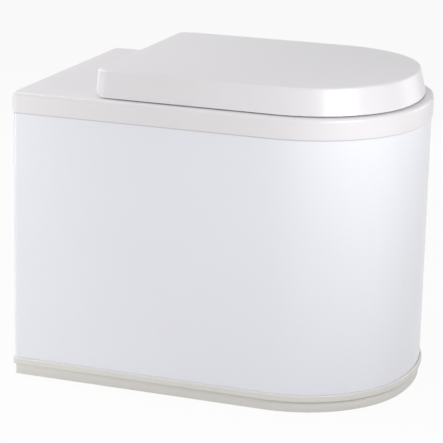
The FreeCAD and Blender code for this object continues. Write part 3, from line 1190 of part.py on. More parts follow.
PIECES = {
    "base_tray": make_base_tray,
    "foot_pads": make_foot_pads,
    "cabinet_wrap": make_cabinet_wrap,
    "rear_panel": make_rear_panel,
    "panel_screws": make_panel_screws,
    "top_deck": make_top_deck,
    "freezer_tub": make_freezer_tub,
    "tub_gasket": make_tub_gasket,
    "evaporator_coil": make_evaporator_coil,
    "insulation": make_insulation,
    "bulkhead": make_bulkhead,
    "bulkhead_screws": make_bulkhead_screws,
    "waste_container": make_waste_container,
    "hinge_posts": make_hinge_posts,
    "hinge_pins": make_hinge_pins,
    "hinge_studs": make_hinge_studs,
    "hinge_nuts": make_hinge_nuts,
    "seat_ring": make_seat_ring,
    "seat_buffers": make_seat_buffers,
    "lid_shell": make_lid_shell,
    "lid_insulation": make_lid_insulation,
    "lid_liner": make_lid_liner,
    "lid_buffers": make_lid_buffers,
    "control_well": make_control_well,
    "thermostat_body": make_thermostat_body,
    "thermostat_shaft": make_thermostat_shaft,
    "thermostat_knob": make_thermostat_knob,
    "switch_body": make_switch_body,
    "switch_rocker": make_switch_rocker,
    "pilot_lamp": make_pilot_lamp,
    "cable_gland": make_cable_gland,
    "sensor_line": make_sensor_line,
    "compressor_lower_shell": make_compressor_lower_shell,
    "compressor_upper_shell": make_compressor_upper_shell,
    "compressor_foot_plate": make_compressor_foot_plate,
    "compressor_grommets": make_compressor_grommets,
    "compressor_bolts": make_compressor_bolts,
    "relay_cover": make_relay_cover,
    "condenser_tube": make_condenser_tube,
    "condenser_wires": make_condenser_wires,
    "condenser_clips": make_condenser_clips,
    "discharge_line": make_discharge_line,
    "filter_drier": make_filter_drier,
    "capillary_line": make_capillary_line,
    "suction_line": make_suction_line,
}

os.makedirs("parts", exist_ok=True)
for name, make in PIECES.items():
    make().exportStep("parts/" + name + ".step")
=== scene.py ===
import math
import bpy
from mathutils import Matrix, Vector

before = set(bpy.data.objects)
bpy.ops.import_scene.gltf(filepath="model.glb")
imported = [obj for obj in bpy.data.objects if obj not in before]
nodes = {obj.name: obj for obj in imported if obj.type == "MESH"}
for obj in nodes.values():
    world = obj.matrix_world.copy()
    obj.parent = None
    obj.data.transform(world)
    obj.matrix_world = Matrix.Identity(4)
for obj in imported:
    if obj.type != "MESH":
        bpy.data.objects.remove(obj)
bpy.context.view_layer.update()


# Base tray: the plinth with its standing lip, with ribs and bosses below and the air slots behind.
# Injection-moulded ABS in a warm pale grey. The foot of the sheet wrap stands in the groove of its lip.
# Its satin skin has a fine spark-eroded grain, and floor dust has settled along its foot.
MM = 0.001


def linear(hex_colour):
    """sRGB hex to a linear colour with alpha."""
    channels = [int(hex_colour[i:i + 2], 16) / 255 for i in (1, 3, 5)]
    return [c / 12.92 if c <= 0.04045 else ((c + 0.055) / 1.055) ** 2.4 for c in channels] + [1.0]


def add_node(tree, kind, settings=None, links=None):
    """Adds a node. Settings go to its properties or sockets, and links join other outputs to it."""
    node = tree.nodes.new(kind)
    for key, value in (settings or {}).items():
        if isinstance(key, str) and hasattr(node, key):
            setattr(node, key, value)
        else:
            node.inputs[key].default_value = value
    for key, output in (links or {}).items():
        tree.links.new(output, node.inputs[key])
    return node


def new_finish(name, settings):
    """New material with one surface shader. Also gives the place on the object, in metres."""
    material = bpy.data.materials.new(name)
    material.use_nodes = True
    tree = material.node_tree
    tree.nodes.clear()
    surface = add_node(tree, "ShaderNodeBsdfPrincipled", settings)
    add_node(tree, "ShaderNodeOutputMaterial", links={"Surface": surface.outputs["BSDF"]})
    place = add_node(tree, "ShaderNodeTexCoord").outputs["Object"]
    return material, tree, surface, place


def dress(node_names, material):
    """Gives these CAD nodes a finish."""
    for name in node_names:
        nodes[name].data.materials.clear()
        nodes[name].data.materials.append(material)


PLINTH_CLOUD = 140 * MM
PLINTH_GRAIN = 1.1 * MM
PLINTH_DUST_TOP = 12 * MM
pale_grey_abs, tree, surface, place = new_finish("pale_grey_moulded_abs", {"IOR": 1.53})
cloud = add_node(tree, "ShaderNodeTexNoise", {"Scale": 1 / PLINTH_CLOUD, "Detail": 3.0}, {"Vector": place})
body = add_node(tree, "ShaderNodeMix", {"data_type": "RGBA", 6: linear("#D9D7D3"), 7: linear("#DEDCD8")},
                {0: cloud.outputs["Fac"]})
height = add_node(tree, "ShaderNodeSeparateXYZ", links={0: place}).outputs["Z"]
low = add_node(tree, "ShaderNodeMapRange",
               {"From Min": 0.0, "From Max": PLINTH_DUST_TOP, "To Min": 0.5, "To Max": 0.0},
               {"Value": height})
dust = add_node(tree, "ShaderNodeMath", {"operation": "MULTIPLY"},
                {0: low.outputs[0], 1: cloud.outputs["Fac"]})
dusty = add_node(tree, "ShaderNodeMix", {"data_type": "RGBA", 7: linear("#BDB9B1")},
                 {0: dust.outputs[0], 6: body.outputs[2]})
tree.links.new(dusty.outputs[2], surface.inputs["Base Color"])
dull = add_node(tree, "ShaderNodeMapRange", {"To Min": 0.34, "To Max": 0.42}, {"Value": cloud.outputs["Fac"]})
tree.links.new(dull.outputs[0], surface.inputs["Roughness"])
grain = add_node(tree, "ShaderNodeTexNoise", {"Scale": 1 / PLINTH_GRAIN, "Detail": 2.0}, {"Vector": place})
bump = add_node(tree, "ShaderNodeBump", {"Strength": 0.12, "Distance": 0.05 * MM},
                {"Height": grain.outputs["Fac"]})
tree.links.new(bump.outputs[0], surface.inputs["Normal"])
dress(["base_tray"], pale_grey_abs)


# Foot pads: four round rubber pads under the tray, and the grommets that carry the compressor.
# Moulded black rubber, matte, greyed unevenly by the bloom that comes out of it.
# The pads are glued into recesses of the plinth, and the grommets snap into the foot plate.
RUBBER_BLOOM = 9 * MM
RUBBER_GRIT = 0.7 * MM
rubber_looks = {}
for rubber_name, dark, bloomed in (("black_moulded_rubber", "#1B1B1A", "#34332F"),
                                   ("grey_moulded_rubber", "#6E6E6C", "#8B8A86")):
    rubber, tree, surface, place = new_finish(rubber_name, {"Roughness": 0.78, "IOR": 1.52})
    bloom = add_node(tree, "ShaderNodeTexNoise", {"Scale": 1 / RUBBER_BLOOM, "Detail": 4.0},
                     {"Vector": place})
    colour = add_node(tree, "ShaderNodeMix", {"data_type": "RGBA", 6: linear(dark), 7: linear(bloomed)},
                      {0: bloom.outputs["Fac"]})
    tree.links.new(colour.outputs[2], surface.inputs["Base Color"])
    grit = add_node(tree, "ShaderNodeTexVoronoi", {"Scale": 1 / RUBBER_GRIT}, {"Vector": place})
    bump = add_node(tree, "ShaderNodeBump", {"Strength": 0.25, "Distance": 0.08 * MM},
                    {"Height": grit.outputs["Distance"]})
    tree.links.new(bump.outputs[0], surface.inputs["Normal"])
    rubber_looks[rubber_name] = rubber
dress(["foot_pads", "compressor_grommets"], rubber_looks["black_moulded_rubber"])


# Compressor: two deep-drawn steel shells welded at the seam, on a pressed foot plate.
# Dipped in black stoving enamel, which has run into a soft ripple.
# House dust lies on all that faces up.
DIP_RIPPLE = 3.5 * MM
DIP_SHADE = 30 * MM
DUST_CLUMP = 6 * MM
black_enamel, tree, surface, place = new_finish("black_stoving_enamel", {"IOR": 1.5})
settled = add_node(tree, "ShaderNodeTexNoise", {"Scale": 1 / DIP_SHADE, "Detail": 4.0}, {"Vector": place})
colour = add_node(tree, "ShaderNodeMix", {"data_type": "RGBA", 6: linear("#141414"), 7: linear("#262523")},
                  {0: settled.outputs["Fac"]})
facing = add_node(tree, "ShaderNodeSeparateXYZ",
                  links={0: add_node(tree, "ShaderNodeNewGeometry").outputs["Normal"]}).outputs["Z"]
upward = add_node(tree, "ShaderNodeMapRange", {"From Min": 0.3, "From Max": 1.0, "To Max": 0.55},
                  {"Value": facing})
clumps = add_node(tree, "ShaderNodeTexNoise", {"Scale": 1 / DUST_CLUMP, "Detail": 5.0}, {"Vector": place})
dust = add_node(tree, "ShaderNodeMath", {"operation": "MULTIPLY"},
                {0: upward.outputs[0], 1: clumps.outputs["Fac"]})
dusty = add_node(tree, "ShaderNodeMix", {"data_type": "RGBA", 7: linear("#8C867B")},
                 {0: dust.outputs[0], 6: colour.outputs[2]})
tree.links.new(dusty.outputs[2], surface.inputs["Base Color"])
matted = add_node(tree, "ShaderNodeMapRange", {"From Max": 0.35, "To Min": 0.26, "To Max": 0.7},
                  {"Value": dust.outputs[0]})
tree.links.new(matted.outputs[0], surface.inputs["Roughness"])
ripple = add_node(tree, "ShaderNodeTexNoise", {"Scale": 1 / DIP_RIPPLE, "Detail": 2.0}, {"Vector": place})
bump = add_node(tree, "ShaderNodeBump", {"Strength": 0.2, "Distance": 0.1 * MM},
                {"Height": ripple.outputs["Fac"]})
tree.links.new(bump.outputs[0], surface.inputs["Normal"])
dress(["compressor_foot_plate", "compressor_lower_shell", "compressor_upper_shell"], black_enamel)


# Compressor bolts: hexagon bolts with washers, through the grommets into the tray's bosses.
# Cold-headed steel with a bright zinc plating that is a little cloudy.
PLATING_CLOUD = 5 * MM
zinc, tree, surface, place = new_finish("zinc_plated_steel", {"Metallic": 1.0})
cloud = add_node(tree, "ShaderNodeTexNoise", {"Scale": 1 / PLATING_CLOUD, "Detail": 3.0}, {"Vector": place})
colour = add_node(tree, "ShaderNodeMix", {"data_type": "RGBA", 6: linear("#BFC3C6"), 7: linear("#D6D3C8")},
                  {0: cloud.outputs["Fac"]})
tree.links.new(colour.outputs[2], surface.inputs["Base Color"])
worn = add_node(tree, "ShaderNodeMapRange", {"To Min": 0.2, "To Max": 0.42}, {"Value": cloud.outputs["Fac"]})
tree.links.new(worn.outputs[0], surface.inputs["Roughness"])
dress(["compressor_bolts"], zinc)


# Relay cover: box over the compressor's terminals, clipped to its side.
# Black moulded ABS with a fine spark-eroded grain, greyed where fingers and dust have been.
GRAIN = 0.5 * MM
FINGER_MARK = 18 * MM
black_abs, tree, surface, place = new_finish("black_grained_abs", {"IOR": 1.53})
touched = add_node(tree, "ShaderNodeTexNoise", {"Scale": 1 / FINGER_MARK, "Detail": 4.0}, {"Vector": place})
colour = add_node(tree, "ShaderNodeMix", {"data_type": "RGBA", 6: linear("#1C1D1F"), 7: linear("#2A2B2D")},
                  {0: touched.outputs["Fac"]})
colour.name = "moulded_colour"
tree.links.new(colour.outputs[2], surface.inputs["Base Color"])
worn = add_node(tree, "ShaderNodeMapRange", {"To Min": 0.38, "To Max": 0.56},
                {"Value": touched.outputs["Fac"]})
tree.links.new(worn.outputs[0], surface.inputs["Roughness"])
grain = add_node(tree, "ShaderNodeTexVoronoi", {"Scale": 1 / GRAIN}, {"Vector": place})
bump = add_node(tree, "ShaderNodeBump", {"Strength": 0.3, "Distance": 0.05 * MM},
                {"Height": grain.outputs["Distance"]})
tree.links.new(bump.outputs[0], surface.inputs["Normal"])
dress(["relay_cover"], black_abs)


# Bulkhead: folded sheet wall between the cold box and the machine space.
# Hot-dip galvanised steel with flat crystal spangles, some duller than others.
SPANGLE = 9 * MM
galvanised, tree, surface, place = new_finish("galvanised_sheet_steel", {"Metallic": 1.0})
spangle = add_node(tree, "ShaderNodeTexVoronoi", {"Scale": 1 / SPANGLE}, {"Vector": place})
shade = add_node(tree, "ShaderNodeSeparateColor", links={0: spangle.outputs["Color"]}).outputs[0]
colour = add_node(tree, "ShaderNodeMix", {"data_type": "RGBA", 6: linear("#B4B9BD"), 7: linear("#CDD1D4")},
                  {0: shade})
tree.links.new(colour.outputs[2], surface.inputs["Base Color"])
worn = add_node(tree, "ShaderNodeMapRange", {"To Min": 0.3, "To Max": 0.55}, {"Value": shade})
tree.links.new(worn.outputs[0], surface.inputs["Roughness"])
dress(["bulkhead"], galvanised)


# Bulkhead screws: cross-recessed pan heads through the bulkhead's flanges.
# Zinc-plated steel. They bite into bosses of the tray and of the deck.
dress(["bulkhead_screws"], zinc)


# Insulation: foam poured between the wrap, the bulkhead and the tub.
# Rigid polyurethane, straw-yellow, with fine cells and a skin that darkens unevenly.
FOAM_CELL = 1.4 * MM
FOAM_CLOUD = 60 * MM
foam, tree, surface, place = new_finish("rigid_polyurethane_foam", {"Roughness": 0.9, "IOR": 1.45})
cloud = add_node(tree, "ShaderNodeTexNoise", {"Scale": 1 / FOAM_CLOUD, "Detail": 4.0}, {"Vector": place})
colour = add_node(tree, "ShaderNodeMix", {"data_type": "RGBA", 6: linear("#E9D7A6"), 7: linear("#D7BE82")},
                  {0: cloud.outputs["Fac"]})
tree.links.new(colour.outputs[2], surface.inputs["Base Color"])
cells = add_node(tree, "ShaderNodeTexVoronoi", {"Scale": 1 / FOAM_CELL}, {"Vector": place})
bump = add_node(tree, "ShaderNodeBump", {"Strength": 0.5, "Distance": 0.4 * MM},
                {"Height": cells.outputs["Distance"]})
tree.links.new(bump.outputs[0], surface.inputs["Normal"])
dress(["insulation"], foam)


# Freezer tub: one deep-drawn cup with a flat flange, which lies on the foam.
# Mill-finish aluminium with upright draw marks and a grey oxide haze.
DRAW_MARK = 1.6 * MM
DRAW_LENGTH = 120 * MM
OXIDE_HAZE = 40 * MM
aluminium, tree, surface, place = new_finish("drawn_aluminium", {"Metallic": 1.0})
haze = add_node(tree, "ShaderNodeTexNoise", {"Scale": 1 / OXIDE_HAZE, "Detail": 4.0}, {"Vector": place})
colour = add_node(tree, "ShaderNodeMix", {"data_type": "RGBA", 6: linear("#C6C8CA"), 7: linear("#DADBDC")},
                  {0: haze.outputs["Fac"]})
tree.links.new(colour.outputs[2], surface.inputs["Base Color"])
stretched = add_node(tree, "ShaderNodeMapping", {"Scale": (1 / DRAW_MARK, 1 / DRAW_MARK, 1 / DRAW_LENGTH)},
                     {"Vector": place})
marks = add_node(tree, "ShaderNodeTexNoise", {"Scale": 1.0, "Detail": 3.0}, {"Vector": stretched.outputs[0]})
worn = add_node(tree, "ShaderNodeMapRange", {"To Min": 0.28, "To Max": 0.5}, {"Value": marks.outputs["Fac"]})
tree.links.new(worn.outputs[0], surface.inputs["Roughness"])
bump = add_node(tree, "ShaderNodeBump", {"Strength": 0.2, "Distance": 0.05 * MM},
                {"Height": marks.outputs["Fac"]})
tree.links.new(bump.outputs[0], surface.inputs["Normal"])
dress(["freezer_tub"], aluminium)


# Evaporator coil: one length of tube wound round the tub, with both tails led out through the bulkhead.
# Soft drawn copper, browned in patches where it was heated for brazing.
COPPER_TARNISH = 26 * MM
copper, tree, surface, place = new_finish("tarnished_copper_tube", {"Metallic": 1.0})
tarnish = add_node(tree, "ShaderNodeTexNoise",
                   {"Scale": 1 / COPPER_TARNISH, "Detail": 5.0, "Roughness": 0.6}, {"Vector": place})
colour = add_node(tree, "ShaderNodeMix", {"data_type": "RGBA", 6: linear("#D9926F"), 7: linear("#9C6148")},
                  {0: tarnish.outputs["Fac"]})
tree.links.new(colour.outputs[2], surface.inputs["Base Color"])
worn = add_node(tree, "ShaderNodeMapRange", {"To Min": 0.22, "To Max": 0.5},
                {"Value": tarnish.outputs["Fac"]})
tree.links.new(worn.outputs[0], surface.inputs["Roughness"])
dress(["evaporator_coil"], copper)


# Tub gasket: flat ring between the tub's flange and the collar of the deck.
# Moulded grey rubber, squeezed in place by the deck.
dress(["tub_gasket"], rubber_looks["grey_moulded_rubber"])


# Sensor line: the thermostat's feeler, a capillary with a bulb against the tub.
# Drawn copper, led through the bulkhead beside the coil's tails.
dress(["sensor_line"], copper)


# Discharge, capillary and suction lines and the filter drier: the rest of the cooling circuit.
# Copper tubes bent by hand round a former and brazed end to end. The drier is spun at both ends.
dress(["discharge_line", "capillary_line", "suction_line", "filter_drier"], copper)


# Condenser: a serpentine tube with upright wires spot-welded to both faces.
# Steel, dipped as a whole in black stoving enamel.
dress(["condenser_tube", "condenser_wires"], black_enamel)


# Condenser clips: stand-offs that hold the condenser to the rear panel.
# Matte white moulded ABS, pushed over the tube.
INNER_GRAIN = 0.9 * MM
INNER_CLOUD = 90 * MM
matte_abs, tree, surface, place = new_finish("matte_white_abs", {"IOR": 1.53})
cloud = add_node(tree, "ShaderNodeTexNoise", {"Scale": 1 / INNER_CLOUD, "Detail": 3.0}, {"Vector": place})
colour = add_node(tree, "ShaderNodeMix", {"data_type": "RGBA", 6: linear("#E2E0DC"), 7: linear("#E8E6E3")},
                  {0: cloud.outputs["Fac"]})
tree.links.new(colour.outputs[2], surface.inputs["Base Color"])
dull = add_node(tree, "ShaderNodeMapRange", {"To Min": 0.48, "To Max": 0.58}, {"Value": cloud.outputs["Fac"]})
tree.links.new(dull.outputs[0], surface.inputs["Roughness"])
grain = add_node(tree, "ShaderNodeTexVoronoi", {"Scale": 1 / INNER_GRAIN}, {"Vector": place})
bump = add_node(tree, "ShaderNodeBump", {"Strength": 0.2, "Distance": 0.05 * MM},
                {"Height": grain.outputs["Distance"]})
tree.links.new(bump.outputs[0], surface.inputs["Normal"])
dress(["condenser_clips"], matte_abs)


# Cabinet wrap: one thin steel sheet rolled round the nose, with folded rear edges.
# Stoved white enamel, cool in tone and glossy, with the fine ripple of a sprayed coat.
# Long shallow waves of the sheet bend what it mirrors, and a painted shade line darkens the wrap just under
# the deck's rim.
SPRAY_RIPPLE = 2.2 * MM
SHEET_WAVE = 260 * MM
ENAMEL_DRIFT = 240 * MM
WRAP_IN_REBATE = 5.5 * MM
RIM_SHADE_REACH = 3 * MM
rim_foot = max(corner[2] for corner in nodes["cabinet_wrap"].bound_box) - WRAP_IN_REBATE
white_enamel, tree, surface, place = new_finish("white_stoved_enamel",
                                                {"IOR": 1.5, "Coat Weight": 0.25, "Coat Roughness": 0.08})
drift = add_node(tree, "ShaderNodeTexNoise", {"Scale": 1 / ENAMEL_DRIFT, "Detail": 2.0}, {"Vector": place})
colour = add_node(tree, "ShaderNodeMix", {"data_type": "RGBA", 6: linear("#E6E7EE"), 7: linear("#E9EAF1")},
                  {0: drift.outputs["Fac"]})
height = add_node(tree, "ShaderNodeSeparateXYZ", links={0: place}).outputs["Z"]
# Painted shade: a grey band over the top few millimetres below the rim's foot, where the rim shades the wrap.
painted_rim_shade = add_node(tree, "ShaderNodeMapRange",
                {"From Min": rim_foot - RIM_SHADE_REACH, "From Max": rim_foot, "To Max": 0.7},
                {"Value": height})
colour = add_node(tree, "ShaderNodeMix", {"data_type": "RGBA", 7: linear("#8E8B8C")},
                  {0: painted_rim_shade.outputs[0], 6: colour.outputs[2]})
colour.name = "enamel_colour"
tree.links.new(colour.outputs[2], surface.inputs["Base Color"])
wiped = add_node(tree, "ShaderNodeMapRange", {"To Min": 0.26, "To Max": 0.32},
                 {"Value": drift.outputs["Fac"]})
tree.links.new(wiped.outputs[0], surface.inputs["Roughness"])
ripple = add_node(tree, "ShaderNodeTexNoise", {"Scale": 1 / SPRAY_RIPPLE, "Detail": 1.0}, {"Vector": place})
wave = add_node(tree, "ShaderNodeTexNoise", {"Scale": 1 / SHEET_WAVE, "Detail": 1.0}, {"Vector": place})
fine = add_node(tree, "ShaderNodeBump", {"Strength": 0.08, "Distance": 0.02 * MM},
                {"Height": ripple.outputs["Fac"]})
broad = add_node(tree, "ShaderNodeBump", {"Strength": 0.15, "Distance": 0.4 * MM},
                 {"Height": wave.outputs["Fac"], "Normal": fine.outputs[0]})
tree.links.new(broad.outputs[0], surface.inputs["Normal"])
dress(["cabinet_wrap"], white_enamel)


# Rear panel: steel sheet with louvres pressed inwards and a window for the control well.
# The same white enamel as the wrap. The air drawn through has left grey dust in the louvres.
# The dust starts below the outer face of the sheet and is thickest deep in the slots.
LOUVRE_DUST_DEPTH = 6 * MM
panel_face = max(corner[1] for corner in nodes["rear_panel"].bound_box)
# The copy's colour still holds the wrap's painted shade band below the rim's foot.
panel_enamel = white_enamel.copy()
panel_enamel.name = "white_stoved_enamel_dusty"
tree = panel_enamel.node_tree
surface = tree.nodes["Principled BSDF"]
place = tree.nodes["Texture Coordinate"].outputs["Object"]
depth = add_node(tree, "ShaderNodeSeparateXYZ", links={0: place}).outputs["Y"]
inside = add_node(tree, "ShaderNodeMapRange",
                  {"From Min": panel_face, "From Max": panel_face - LOUVRE_DUST_DEPTH, "To Max": 0.6},
                  {"Value": depth})
clumps = add_node(tree, "ShaderNodeTexNoise", {"Scale": 1 / DUST_CLUMP, "Detail": 5.0}, {"Vector": place})
dust = add_node(tree, "ShaderNodeMath", {"operation": "MULTIPLY"},
                {0: inside.outputs[0], 1: clumps.outputs["Fac"]})
dusty = add_node(tree, "ShaderNodeMix", {"data_type": "RGBA", 7: linear("#9A958B")},
                 {0: dust.outputs[0], 6: tree.nodes["enamel_colour"].outputs[2]})
tree.links.new(dusty.outputs[2], surface.inputs["Base Color"])
dress(["rear_panel"], panel_enamel)


# Panel screws: cross-recessed pan heads down both edges of the rear panel.
# Zinc-plated steel, driven into the folded edges of the wrap.
dress(["panel_screws"], zinc)


# Control well: moulded recess that carries the knob, the switch, the lamp and the gland.
# Black grained ABS, pushed into the window of the rear panel.
# A white scale is printed round the knob: eleven strokes over three quarters of a turn.
STROKE_MIDDLE = 22 * MM
STROKE_HALF_LENGTH = 2 * MM
STROKE_HALF_ANGLE = math.radians(1.6)
STROKE_PITCH = math.radians(27)
SCALE_MIDDLE = math.radians(135)
knob_corners = [Vector(corner) for corner in nodes["thermostat_knob"].bound_box]
knob_place = sum(knob_corners, Vector()) / len(knob_corners)
printed_abs = black_abs.copy()
printed_abs.name = "black_grained_abs_printed"
tree = printed_abs.node_tree
surface = tree.nodes["Principled BSDF"]
place = tree.nodes["Texture Coordinate"].outputs["Object"]
offset = add_node(tree, "ShaderNodeVectorMath", {"operation": "SUBTRACT", 1: knob_place}, {0: place})
flat = add_node(tree, "ShaderNodeVectorMath", {"operation": "MULTIPLY", 1: (-1, 0, 1)},
                {0: offset.outputs[0]})
reach = add_node(tree, "ShaderNodeVectorMath", {"operation": "LENGTH"}, {0: flat.outputs[0]})
turned = add_node(tree, "ShaderNodeVectorRotate", {"rotation_type": "Y_AXIS", "Angle": -SCALE_MIDDLE},
                  {"Vector": flat.outputs[0]})
parts = add_node(tree, "ShaderNodeSeparateXYZ", links={0: turned.outputs[0]})
angle = add_node(tree, "ShaderNodeMath", {"operation": "ARCTAN2"},
                 {0: parts.outputs["X"], 1: parts.outputs["Z"]})
near = add_node(tree, "ShaderNodeMath", {"operation": "PINGPONG", 1: STROKE_PITCH / 2}, {0: angle.outputs[0]})
stroke = add_node(tree, "ShaderNodeMath", {"operation": "LESS_THAN", 1: STROKE_HALF_ANGLE},
                  {0: near.outputs[0]})
band = add_node(tree, "ShaderNodeMath", {"operation": "COMPARE", 1: STROKE_MIDDLE, 2: STROKE_HALF_LENGTH},
                {0: reach.outputs["Value"]})
span = add_node(tree, "ShaderNodeMath",
                {"operation": "COMPARE", 1: 0.0, 2: SCALE_MIDDLE + STROKE_HALF_ANGLE},
                {0: angle.outputs[0]})
ink = add_node(tree, "ShaderNodeMath", {"operation": "MULTIPLY"}, {0: stroke.outputs[0], 1: band.outputs[0]})
ink = add_node(tree, "ShaderNodeMath", {"operation": "MULTIPLY"}, {0: ink.outputs[0], 1: span.outputs[0]})
inked = add_node(tree, "ShaderNodeMix", {"data_type": "RGBA", 7: linear("#D8D8D4")},
                 {0: ink.outputs[0], 6: tree.nodes["moulded_colour"].outputs[2]})
tree.links.new(inked.outputs[2], surface.inputs["Base Color"])
dress(["control_well"], printed_abs)


# Thermostat: moulded case behind the well, with a turned shaft that the knob sits on.
# Matte white ABS and zinc-plated steel, held to the well by the shaft's collar.
dress(["thermostat_body"], matte_abs)
dress(["thermostat_shaft"], zinc)


# Thermostat knob: skirted knob with a finger bar, pushed on the shaft.
# Black grained ABS. A white line printed along the bar shows where it points.
POINTER_HALF_WIDTH = 0.7 * MM
POINTER_START = 3 * MM
pointer_abs = black_abs.copy()
pointer_abs.name = "black_grained_abs_pointer"
tree = pointer_abs.node_tree
surface = tree.nodes["Principled BSDF"]
place = tree.nodes["Texture Coordinate"].outputs["Object"]
offset = add_node(tree, "ShaderNodeVectorMath", {"operation": "SUBTRACT", 1: knob_place}, {0: place})
parts = add_node(tree, "ShaderNodeSeparateXYZ", links={0: offset.outputs[0]})
narrow = add_node(tree, "ShaderNodeMath", {"operation": "COMPARE", 1: 0.0, 2: POINTER_HALF_WIDTH},
                  {0: parts.outputs["X"]})
beyond = add_node(tree, "ShaderNodeMath", {"operation": "GREATER_THAN", 1: POINTER_START},
                  {0: parts.outputs["Z"]})
ink = add_node(tree, "ShaderNodeMath", {"operation": "MULTIPLY"},
               {0: narrow.outputs[0], 1: beyond.outputs[0]})
inked = add_node(tree, "ShaderNodeMix", {"data_type": "RGBA", 7: linear("#D8D8D4")},
                 {0: ink.outputs[0], 6: tree.nodes["moulded_colour"].outputs[2]})
tree.links.new(inked.outputs[2], surface.inputs["Base Color"])
dress(["thermostat_knob"], pointer_abs)


# Switch: snap-in body with a bezel, and a dished rocker on two stub pivots.
# Both are black grained ABS. The body is held by the edge of its hole in the well.
dress(["switch_body", "switch_rocker"], black_abs)


# Pilot lamp: domed lens that snaps into the well beside the switch.
# Clear green polycarbonate, frosted inside so that it spreads the light.
LENS_FROST = 1.2 * MM
lens_green, tree, surface, place = new_finish("green_polycarbonate_lens",
                                              {"IOR": 1.58, "Transmission Weight": 0.35})
frost = add_node(tree, "ShaderNodeTexVoronoi", {"Scale": 1 / LENS_FROST}, {"Vector": place})
colour = add_node(tree, "ShaderNodeMix", {"data_type": "RGBA", 6: linear("#1E8F45"), 7: linear("#2FB85F")},
                  {0: frost.outputs["Distance"]})
tree.links.new(colour.outputs[2], surface.inputs["Base Color"])
worn = add_node(tree, "ShaderNodeMapRange", {"To Min": 0.12, "To Max": 0.3},
                {"Value": frost.outputs["Distance"]})
tree.links.new(worn.outputs[0], surface.inputs["Roughness"])
dress(["pilot_lamp"], lens_green)


# Cable gland: collar with a nut that grips the mains lead, at the foot of the well.
# Black grained ABS, turned tight from inside the cabinet.
dress(["cable_gland"], black_abs)


# Top deck: the moulding that the seat stands on, with a rolled edge and a deep collar round its opening.
# Polished-tool ABS in a warm white: smooth, with faint sink waves over the ribs and a haze of wipe marks.
# It is pushed down over the wrap, whose top edge stands in a rebate of the rim.
SINK_WAVE = 180 * MM
WIPE_MARK = 110 * MM
gloss_abs, tree, surface, place = new_finish("warm_white_polished_abs", {"IOR": 1.53})
haze = add_node(tree, "ShaderNodeTexNoise", {"Scale": 1 / WIPE_MARK, "Detail": 2.0}, {"Vector": place})
colour = add_node(tree, "ShaderNodeMix", {"data_type": "RGBA", 6: linear("#E2DFE2"), 7: linear("#E5E2E5")},
                  {0: haze.outputs["Fac"]})
tree.links.new(colour.outputs[2], surface.inputs["Base Color"])
wiped = add_node(tree, "ShaderNodeMapRange", {"To Min": 0.27, "To Max": 0.33}, {"Value": haze.outputs["Fac"]})
tree.links.new(wiped.outputs[0], surface.inputs["Roughness"])
wave = add_node(tree, "ShaderNodeTexNoise", {"Scale": 1 / SINK_WAVE, "Detail": 1.0}, {"Vector": place})
bump = add_node(tree, "ShaderNodeBump", {"Strength": 0.12, "Distance": 0.2 * MM},
                {"Height": wave.outputs["Fac"]})
tree.links.new(bump.outputs[0], surface.inputs["Normal"])
dress(["top_deck"], gloss_abs)


# Waste container: tapered pail with a rolled rim, which lifts out of the tub.
# Moulded polypropylene, pale grey and waxy, with flow marks that run up its wall.
FLOW_MARK = 14 * MM
FLOW_LENGTH = 260 * MM
polypropylene, tree, surface, place = new_finish("pale_grey_polypropylene",
                                                 {"IOR": 1.49, "Subsurface Weight": 0.08})
stretched = add_node(tree, "ShaderNodeMapping", {"Scale": (1 / FLOW_MARK, 1 / FLOW_MARK, 1 / FLOW_LENGTH)},
                     {"Vector": place})
flow = add_node(tree, "ShaderNodeTexNoise", {"Scale": 1.0, "Detail": 3.0}, {"Vector": stretched.outputs[0]})
colour = add_node(tree, "ShaderNodeMix", {"data_type": "RGBA", 6: linear("#C3C7CA"), 7: linear("#D0D3D5")},
                  {0: flow.outputs["Fac"]})
tree.links.new(colour.outputs[2], surface.inputs["Base Color"])
worn = add_node(tree, "ShaderNodeMapRange", {"To Min": 0.36, "To Max": 0.52}, {"Value": flow.outputs["Fac"]})
tree.links.new(worn.outputs[0], surface.inputs["Roughness"])
dress(["waste_container"], polypropylene)


# Hinge posts, studs, nuts and pins: what the seat and the lid swing on.
# The posts are moulded in the deck's ABS. Each is drawn down by a zinc-plated stud with a washer and a nut.
# Turned steel pins run through the posts and the lugs of seat and lid.
dress(["hinge_posts"], gloss_abs)
dress(["hinge_studs", "hinge_nuts", "hinge_pins"], zinc)


# Seat ring: broad moulded seat, rounded above and hollow below, with two lugs at its rear.
# The same polished ABS as the deck, so that it wipes clean.
dress(["seat_ring"], gloss_abs)


# Seat buffers: four studs under the seat that keep it off the deck.
# Moulded grey rubber, pressed into bosses of the seat.
dress(["seat_buffers"], rubber_looks["grey_moulded_rubber"])


# Lid shell: deep lid that hides the seat, with leaning sides and a narrow round along its upper edge.
# Polished ABS in one moulding with its two hinge lugs.
dress(["lid_shell"], gloss_abs)


# Lid insulation: a slab of foam under the crown of the lid.
# Rigid polyurethane, poured before the liner was fitted.
dress(["lid_insulation"], foam)


# Lid liner: shallow tray that closes the lid from below.
# Matte white ABS, drawn from sheet and glued to the shell.
dress(["lid_liner"], matte_abs)


# Lid buffers: four studs on the liner that meet the seat.
# Moulded grey rubber, glued on.
dress(["lid_buffers"], rubber_looks["grey_moulded_rubber"])


